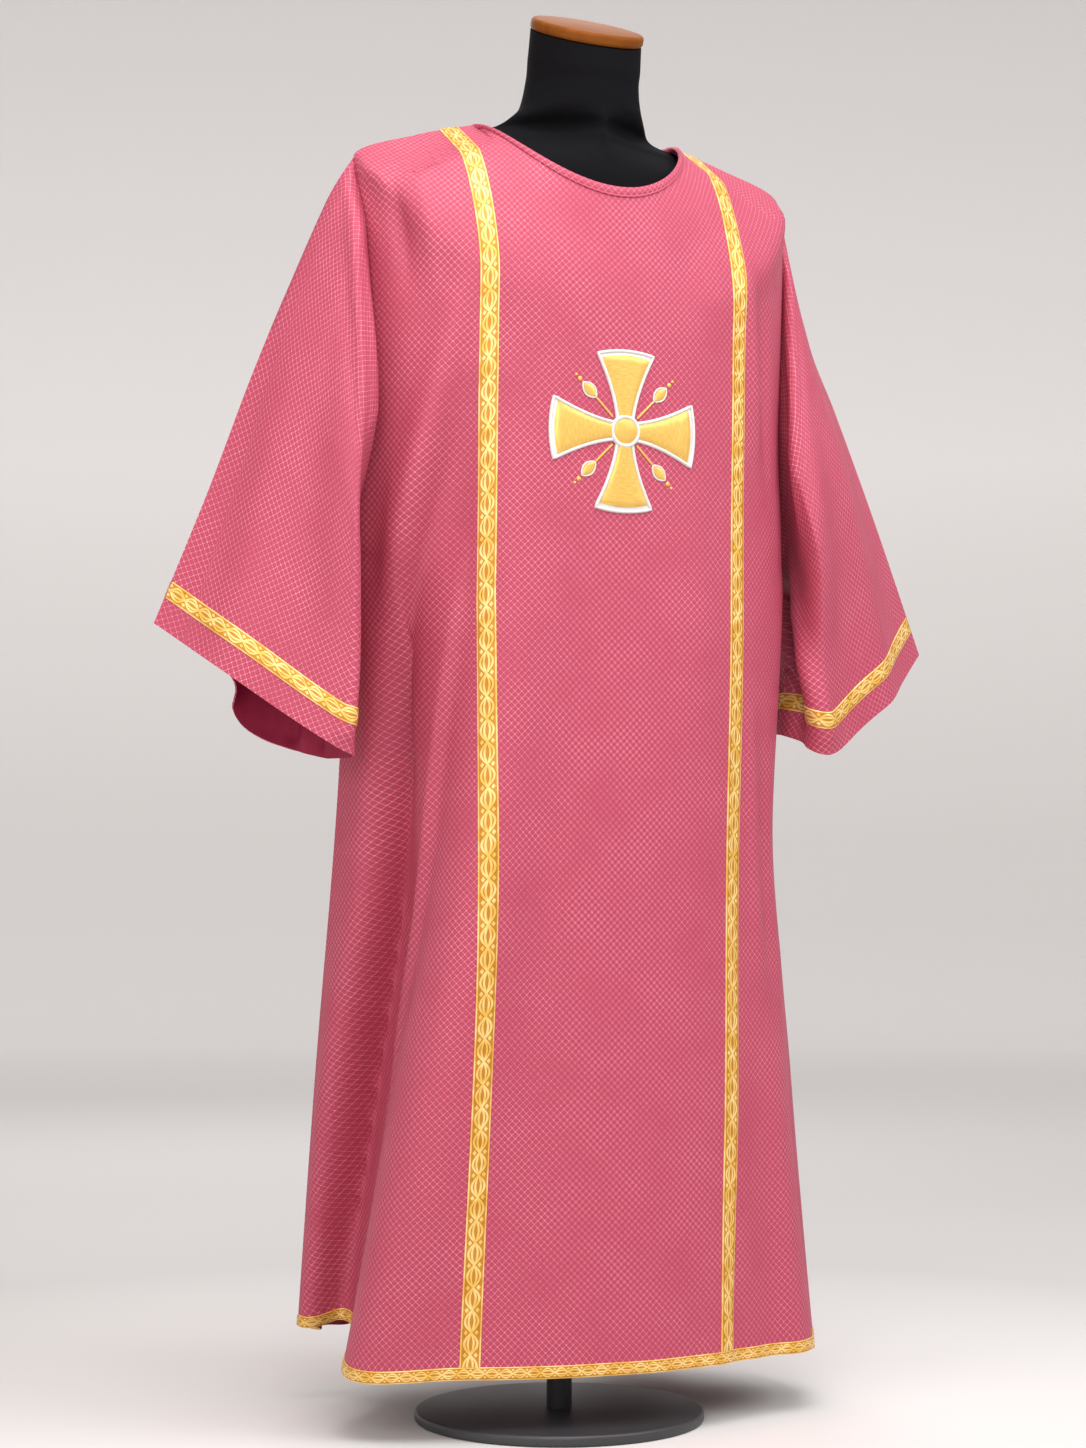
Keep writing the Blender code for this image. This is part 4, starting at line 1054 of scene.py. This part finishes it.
def evenWidth(sheet, rowAt, ends, width, count):
    # columns that keep a strip at its own width on the cloth, as woven braid does
    spare = (ends[1] - ends[0]) * 0.6
    look = np.linspace(ends[0] - spare, ends[1] + spare, 61)
    run = runOf(partOf(sheet, rowAt, look)["grid"], axis=1)
    run = run - run[:, 30:31]
    wanted = np.linspace(-width / 2, width / 2, count)
    return np.array([np.interp(wanted, row, look) for row in run])


def makeBands():
    # upright, on one broad column, from the neckline or shoulder to the hem's galloon
    made = {"front": [], "back": []}
    inner = (broad["neck"] + 1) * cloth["fine"]
    for panel in made:
        sheet = sheets[panel]
        last = sheet["grid"].shape[0] - 4
        for side, word in ((-1, "right"), (1, "left")):
            ends = sorted((middle + side * inner, middle + side * (inner + cloth["fine"])))
            rowAt = np.linspace(0.03, last - 0.05, trim["along"]["band"])
            columnAt = evenWidth(sheet, rowAt, ends, cloth["bandWidth"], trim["across"] + 1)
            made[panel].append(braid(
                f"braid-{panel}-{word}", sheet, rowAt, columnAt, cloth["bandWidth"], True, [gold],
                f"band_{panel}_{word}",
            ))
    return made


def makeHems():
    # on the sheet's last rows, from side seam to side seam
    made = {}
    for panel in ("front", "back"):
        sheet = sheets[panel]
        rows, columns = sheet["grid"].shape[:2]
        rowAt = np.linspace(rows - 4, rows - 0.85, 11)
        columnAt = np.linspace(0.03, columns - 1.03, trim["along"]["hem"])
        made[panel] = braid(
            f"hem-braid-{panel}", sheet, rowAt, columnAt, cloth["hemGalloon"], False, [goldHem],
            f"hem_galloon_{panel}",
        )
    return made


def makeCuffs():
    # round the sleeve, a little above its edge
    made = {}
    for half in ("right", "left"):
        sheet = sheets[half]
        top = broad["sleeve"] * cloth["fineDown"]
        rowAt = np.linspace(top, top + 4, 13)
        columnAt = np.linspace(0.04, sheet["grid"].shape[1] - 0.04, trim["along"]["cuff"])
        made[half] = braid(
            f"cuff-braid-{half}", sheet, rowAt, columnAt, cloth["cuffBand"], False, [goldCuff],
            f"cuff_galloon_{half}",
        )
    return made


# the binding's section: how far down from the neckline, how far out from the middle of the cloth
binding = columnsOf(
    "down out",
    (0.0110, 0.0011),
    (0.0110, 0.0019),
    (0.0104, 0.0026),
    (0.0096, 0.0027),
    (0.0090, 0.0022),
    (0.0085, 0.0018),
    (0.0078, 0.0024),
    (0.0040, 0.0027),
    (0.0010, 0.0025),
    (-0.0006, 0.0017),
    (-0.0012, 0.0000),
    (-0.0006, -0.0017),
    (0.0010, -0.0024),
    (0.0070, -0.0024),
    (0.0080, -0.0011),
)


def ringSweep(name, points, down, out, profile, materials):
    # a closed section carried round a closed line
    downs, outs = np.array(profile["down"]), np.array(profile["out"])
    grid = points[None] + down[None] * downs[:, None, None] + out[None] * outs[:, None, None]
    rows, columns = grid.shape[:2]
    a, b, c, d = quadsOf(rows, columns, wrapRows=True, wrapColumns=True)
    across, up = np.meshgrid(runOf(np.concatenate([points, points[:1]])), [*-downs, -downs[0]])
    uv = np.stack([across, up], axis=2).reshape(-1, 2)
    e, f, g, h = quadsOf(rows + 1, columns + 1)
    return pieceOf(
        name, grid.reshape(-1, 3) - (0, poleBack, 0), stacked([a, d, c, b]).tolist(), materials,
        uv[stacked([e, h, g, f]).ravel()],
    )


def makeBinding():
    # the brocade strip that wraps the raw edge of the neck
    across = np.arange(middle - neckColumns, middle + neckColumns + 1)
    points, down, out = [], [], []
    for sheet, columns in ((sheets["front"], across), (sheets["back"], across[-2:0:-1])):
        points.append(sheet["grid"][0, columns])
        down.append(unit(sheet["grid"][bindingRows, columns] - sheet["grid"][0, columns]))
        out.append(sheet["normals"][1, columns])
    points, down, out = (np.concatenate(part) for part in (points, down, out))
    for _turn in range(3):  # ease the change of direction over the shoulders
        down = unit(np.roll(down, 1, axis=0) + 2 * down + np.roll(down, -1, axis=0))
        out = unit(np.roll(out, 1, axis=0) + 2 * out + np.roll(out, -1, axis=0))
    piece = ringSweep("neck-binding-strip", points, down, out, binding, [rose])
    settle(piece, "neck_binding")
    return piece


bands, hems, cuffs, neckBinding = makeBands(), makeHems(), makeCuffs(), makeBinding()
print("trims made")


# the applique on the chest: a padded cross of four flared arms with a boss at its middle, and a sprig in
# each corner, all satin stitched and laid on the front's face
applique = {
    "height": 1.076,
    "reach": 0.086,
    "waist": 0.009,  # half the width of an arm by the middle
    "end": 0.033,  # half the width of an arm at its end
    "edge": 0.0045,  # silver showing round the gold
    "felt": 0.0010,
    "cord": 0.0019,  # radius of the silver cord along the outline
    "pad": 0.0030,  # top of the gold
    "ring": 0.0155,
    "ringCord": 0.0024,
    "dome": 0.0034,
}
sprig = {  # how far out from the middle each part runs
    "stem": (0.020, 0.049),
    "stemCord": 0.0011,
    "lozenge": (0.050, 0.069),
    "lozengeHalf": 0.0052,
    "line": (0.0488, 0.0702),  # in silver round the lozenge
    "lineHalf": 0.0064,
    "lineCord": 0.0010,
    "beads": ((0.0755, 0.0026), (0.0815, 0.0016)),  # with their radius
}


class Stitched:
    # closed lumps on the chest, gathered into one piece: each is a grid of places with its height
    def __init__(self, tree):
        self.tree, self.points, self.faces, self.uvs = tree, [], [], []

    def laid(self, spots, high):
        # places (across, up) on the front's face, raised along its normal
        points = []
        for (across, up), h in zip(spots, high):
            place, normal, *_ = self.tree.ray_cast((across, -1.0, applique["height"] + up), (0, 1, 0))
            points.append(np.array(place) + np.array(normal) * h)
        return points

    def lump(self, spots, high, uv, low=0.0001, closed=False):
        # rows by columns of places; closed joins the last row to the first
        rows, columns = spots.shape[:2]
        start = len(self.points)
        self.points += self.laid(spots.reshape(-1, 2), high.ravel())
        self.points += self.laid(spots.reshape(-1, 2), np.full(rows * columns, low))
        under = rows * columns
        steps = range(rows if closed else rows - 1)
        for r in steps:
            after = (r + 1) % rows
            for c in range(columns - 1):
                quad = [(r, c), (after, c), (after, c + 1), (r, c + 1)]
                flat = [uv[i, j] if i or r == 0 else uv[r, j] + (uv[r, j] - uv[r - 1, j]) for i, j in quad]
                top = [start + i * columns + j for i, j in quad]
                self.faces += [top, [i + under for i in top[::-1]]]
                self.uvs += [flat, flat[::-1]]
        edges = [((r + 1) % rows, 0, r, 0) for r in steps]
        edges += [(r, columns - 1, (r + 1) % rows, columns - 1) for r in steps]
        if not closed:
            edges += [(0, c, 0, c + 1) for c in range(columns - 1)]
            edges += [(rows - 1, c + 1, rows - 1, c) for c in range(columns - 1)]
        for a, b, c, d in edges:
            p, q = start + a * columns + b, start + c * columns + d
            self.faces.append([q, p, p + under, q + under])
            self.uvs.append([uv[c, d], uv[a, b], uv[a, b], uv[c, d]])

    def cordAlong(self, path, radius, low, closed=False):
        # a half-round cord along places on the cloth
        path = np.array(path)
        run, taper = runOf(path), np.ones(len(path))
        if closed:
            ahead = np.roll(path, -1, axis=0) - np.roll(path, 1, axis=0)
        else:
            ahead = np.gradient(path, axis=0)
            taper = np.sqrt(np.clip(np.minimum(run, run[-1] - run) / radius, 0.05, 1))
        ahead = unit(ahead)
        side = np.stack([-ahead[:, 1], ahead[:, 0]], axis=1)
        turn = np.linspace(-math.pi / 2, math.pi / 2, 7)
        aside = np.sin(turn)[None, :, None] * (radius * taper)[:, None, None]
        spots = path[:, None] + side[:, None] * aside
        high = low + radius * 1.1 * np.cos(turn)[None] * taper[:, None] + 0.0001
        uv = np.stack(np.meshgrid(run, turn * radius, indexing="ij"), axis=2)
        self.lump(spots[:, ::-1], high, uv[:, ::-1], low=max(low - 0.0004, 0.0001), closed=closed)

    def piece(self, name, material):
        points = np.array(self.points) - (0, poleBack, 0)
        return pieceOf(name, points, self.faces, [material], np.array(self.uvs), sharp=60)


def armSpots(reach, waist, end, start, runs, marks, turn):
    # places over one flared arm, out from the middle
    run, mark = np.meshgrid(np.linspace(start, 1, runs), np.linspace(-1, 1, marks), indexing="ij")
    out = waist + (reach - waist) * run - 0.004 * run * mark**2
    aside = mark * (waist + (end - waist) * np.clip(run, 0, 1) ** 1.6)
    c, s = ((1, 0), (0, 1), (-1, 0), (0, -1))[turn]
    return np.stack([out * c - aside * s, out * s + aside * c], axis=2), run, mark


def discSpots(middle, radius, rings=6, points=28):
    # a round lump as rows round its middle
    turn = np.linspace(0, 2 * math.pi, points, endpoint=False)[:, None]
    far = np.linspace(1, 0.02, rings) * radius
    return np.stack([middle[0] + far * np.cos(turn), middle[1] + far * np.sin(turn)], axis=2)


def makeApplique():
    sheet = sheets["front"]
    skin = sheet["grid"] + sheet["normals"] * face
    rows = slice(armpitRow // 3, armpitRow + 20)
    part = skin[rows, middle - 40:middle + 41]
    tree = BVHTree.FromPolygons(part.reshape(-1, 3).tolist(), stacked(quadsOf(*part.shape[:2])).tolist())
    a = applique
    pale, bright = Stitched(tree), Stitched(tree)
    outline = []
    for turn in range(4):
        spots, run, mark = armSpots(a["reach"], a["waist"], a["end"], 0, 26, 15, turn)
        rim = np.minimum((1 - np.abs(mark)) / 0.10, (1 - run) / 0.05)
        pale.lump(spots, a["felt"] * (0.35 + 0.65 * np.sqrt(np.clip(rim, 0, 1))), spots)
        outline += [*spots[1:, 0], *spots[-1, 1:-1], *spots[1:, -1][::-1]]
        # the gold lies over the felt, highest along the arm's middle
        gilt, run, mark = armSpots(
            a["reach"] - a["edge"], a["waist"] - a["edge"] * 0.6, a["end"] - a["edge"], 0.06, 30, 15, turn
        )
        ends = np.minimum((1 - run) / 0.06, (run - 0.055) / 0.05)
        rim = np.clip(np.minimum((1 - np.abs(mark)) / 0.22, ends), 0, 1)
        swollen = a["felt"] + 0.0003 + (a["pad"] - a["felt"]) * np.sqrt(rim) * (1 - 0.35 * mark**2)
        lengths = np.stack([run * (a["reach"] - a["waist"]), mark * 0.02], axis=2)
        bright.lump(gilt, swollen, lengths, low=a["felt"] * 0.6)
    pale.cordAlong(outline, a["cord"], 0.0002, closed=True)
    # boss: a silver ring with a gold dome
    turns = np.linspace(0, 2 * math.pi, 72, endpoint=False)
    ring = np.stack([np.cos(turns), np.sin(turns)], axis=1)
    pale.cordAlong(ring * a["ring"], a["ringCord"], a["felt"], closed=True)
    dome = discSpots((0, 0), a["ring"] - 0.001, rings=8, points=48)
    far = np.linspace(1, 0.02, 8)[None] * np.ones((48, 1))
    uv = np.stack([far * 0.05, dome[..., 0] + dome[..., 1]], axis=2)
    bright.lump(dome, a["felt"] + a["dome"] * np.sqrt(1 - 0.9 * far**2), uv, low=0.0003, closed=True)
    # sprigs: a stem, a lozenge in a silver line and two beads
    s, (start, end), (low, high) = sprig, sprig["lozenge"], sprig["line"]
    for turn in range(4):
        angle = math.radians(45 + 90 * turn)
        ahead = np.array([math.cos(angle), math.sin(angle)])
        aside = np.array([-ahead[1], ahead[0]])
        bright.cordAlong([ahead * far for far in np.linspace(*s["stem"], 14)], s["stemCord"], 0.0002)
        run, mark = np.meshgrid(np.linspace(0, 1, 11), np.linspace(-1, 1, 9), indexing="ij")
        half = s["lozengeHalf"] * np.sin(math.pi * np.clip(run, 0.03, 0.97)) ** 0.8
        spots = ahead * (start + (end - start) * run)[..., None] + aside * (half * mark)[..., None]
        uv = np.stack([run * (end - start), mark * 0.01], axis=2)
        bright.lump(spots, 0.0006 + 0.0014 * np.sqrt(1 - 0.85 * mark**2), uv)
        bow = s["lineHalf"] * np.sin(math.pi * np.linspace(0, 1, 13)).clip(0) ** 0.8
        edge = list(zip(np.linspace(low, high, 13), bow))
        loop = [ahead * u + aside * v for u, v in edge] + [ahead * u - aside * v for u, v in edge[-2:0:-1]]
        pale.cordAlong(loop, s["lineCord"], 0.0002, closed=True)
        for far, radius in s["beads"]:
            bead = discSpots(ahead * far, radius, rings=5, points=16)
            rise = np.sqrt(1 - 0.95 * np.linspace(1, 0.02, 5)[None] ** 2) * np.ones((16, 1))
            bright.lump(bead, 0.0002 + radius * 0.9 * rise, bead, closed=True)
    whitePiece = pale.piece("cross-silver-stitch", silver)
    goldPiece = bright.piece("cross-gold-stitch", gilded)
    settle(whitePiece, "cross_ground")
    settle(goldPiece, "cross_field")


makeApplique()
print("applique made")


# the dress form, from its underside up: rings with a middle, a half width, a reach to the front and the
# back, how square they are and how steeply they lean forward
torso = columnsOf(
    "z middleY halfX front back square lean",
    (0.660, 0.035, 0.135, 0.085, 0.090, 2.2, 0.00),
    (0.668, 0.035, 0.152, 0.098, 0.106, 2.2, 0.00),
    (0.700, 0.035, 0.163, 0.106, 0.118, 2.2, 0.00),
    (0.800, 0.034, 0.168, 0.108, 0.120, 2.2, 0.00),
    (0.950, 0.028, 0.150, 0.096, 0.096, 2.2, 0.00),
    (1.080, 0.020, 0.165, 0.110, 0.104, 2.2, 0.00),
    (1.200, 0.014, 0.182, 0.117, 0.112, 2.2, 0.00),
    (1.280, 0.010, 0.196, 0.112, 0.110, 2.1, 0.00),
    (1.340, 0.004, 0.207, 0.100, 0.100, 1.8, 0.00),
    (1.375, 0.000, 0.207, 0.093, 0.088, 1.5, 0.00),
    (1.392, 0.000, 0.2055, 0.090, 0.080, 1.1, 0.00),
    (1.400, 0.000, 0.201, 0.088, 0.075, 0.95, 0.00),
    (1.405, 0.000, 0.1885, 0.087, 0.072, 0.9, 0.00),
    (1.412, 0.000, 0.1652, 0.086, 0.069, 0.9, 0.00),
    (1.4185, -0.002, 0.1320, 0.082, 0.067, 0.9, 0.00),
    (1.427, -0.006, 0.098, 0.079, 0.066, 1.0, 0.02),
    (1.437, -0.014, 0.083, 0.072, 0.064, 1.5, 0.05),
    (1.450, -0.020, 0.070, 0.067, 0.066, 2.0, 0.08),
    (1.475, -0.025, 0.065, 0.065, 0.065, 2.0, 0.18),
    (1.503, -0.031, 0.063, 0.063, 0.063, 2.0, 0.32),
    (1.5275, -0.0351, 0.0625, 0.0625, 0.0625, 2.0, 0.4189),
)
stand = {
    "around": 112,
    "clear": 0.0016,  # the padding sinks this much where cloth lies on it
    "poleRadius": 0.014,
    "baseRadius": 0.160,
    "baseThick": 0.012,
    "clearance": 0.0003,  # between the pole and what it stands in
    "capRadius": 0.0635,
    "capThick": 0.0130,
    "capMiddle": (0.0, -0.038, 1.5340),
    "capTilt": 24.0,
    "capRim": 0.0042,
    "poleRim": 0.0008,
    "baseRim": 0.0035,
}


def makeTorso():
    # padded and covered in jersey; its rings are closed over at both ends
    knots = np.array(torso["z"])
    finer = np.concatenate([np.linspace(a, b, 5, endpoint=False) for a, b in zip(knots, knots[1:])])
    levels = np.append(finer, knots[-1])
    turn = np.linspace(0, 2 * math.pi, stand["around"], endpoint=False)
    rings = []
    for z in levels:
        at = {name: float(onCurve(z, knots, torso[name])) for name in torso if name != "z"}
        sink = stand["clear"] * float(eased((1.50 - z) / 0.02))
        across, along = np.cos(turn), np.sin(turn)
        x = np.sign(across) * np.abs(across) ** (2 / at["square"]) * (at["halfX"] - sink)
        reach = np.where(along > 0, at["back"], at["front"]) - sink
        y = np.sign(along) * np.abs(along) ** (2 / at["square"]) * reach
        lean = at["lean"]
        rings.append(np.stack([x, at["middleY"] + y * math.cos(lean), z + y * math.sin(lean)], axis=1))
    shoulder = np.array([float(eased((z - 1.30) / 0.06) * eased((1.46 - z) / 0.03)) for z in levels])
    grid = np.array(rings)
    grid[..., 2] -= shoulder[:, None] * stand["clear"]
    grid[..., 1] -= poleBack
    rows, columns = grid.shape[:2]
    a, b, c, d = quadsOf(rows, columns, wrapColumns=True)
    faces = stacked([a, d, c, b]).tolist()
    faces += [list(range(columns))[::-1], list(range((rows - 1) * columns, rows * columns))]
    piece = pieceOf("form-torso-jersey", grid.reshape(-1, 3), faces, [jersey], sharp=50)
    settle(piece, "form_torso")
    return piece


def roundedCylinder(name, radius, low, high, bevel, segments, vertices=96):
    # a turned piece with its two rims eased
    bpy.ops.object.select_all(action="DESELECT")
    bpy.ops.mesh.primitive_cylinder_add(
        vertices=vertices, radius=radius, depth=high - low, location=(0, 0, (high + low) / 2)
    )
    piece = bpy.context.object
    piece.name = name
    bpy.ops.object.transform_apply(location=True, rotation=False, scale=False)
    softened = piece.modifiers.new("rims", "BEVEL")
    softened.width = bevel
    softened.segments = segments
    softened.limit_method = "ANGLE"
    bpy.ops.object.modifier_apply(modifier=softened.name)
    bpy.ops.object.shade_smooth_by_angle(angle=math.radians(40))
    return piece


def makeStand():
    s = stand
    half = s["capThick"] / 2
    cap = roundedCylinder("neck-cap-turned", s["capRadius"], -half, half, s["capRim"], 5)
    place = Matrix.Translation(s["capMiddle"]) @ Matrix.Rotation(math.radians(s["capTilt"]), 4, "X")
    cap.data.transform(Matrix.Translation((0, -poleBack, 0)) @ place)
    cap.data.materials.append(wood)
    settle(cap, "form_cap")
    low, high = s["baseThick"] + s["clearance"], torso["z"][0] - s["clearance"]
    pole = roundedCylinder("stand-pole-tube", s["poleRadius"], low, high, s["poleRim"], 2, 48)
    pole.data.materials.append(steel)
    settle(pole, "stand_pole")
    base = roundedCylinder("stand-base-plate", s["baseRadius"], 0.0, s["baseThick"], s["baseRim"], 4, 128)
    base.data.materials.append(steel)
    settle(base, "stand_base")


form = makeTorso()
makeStand()
print("form and stand made")
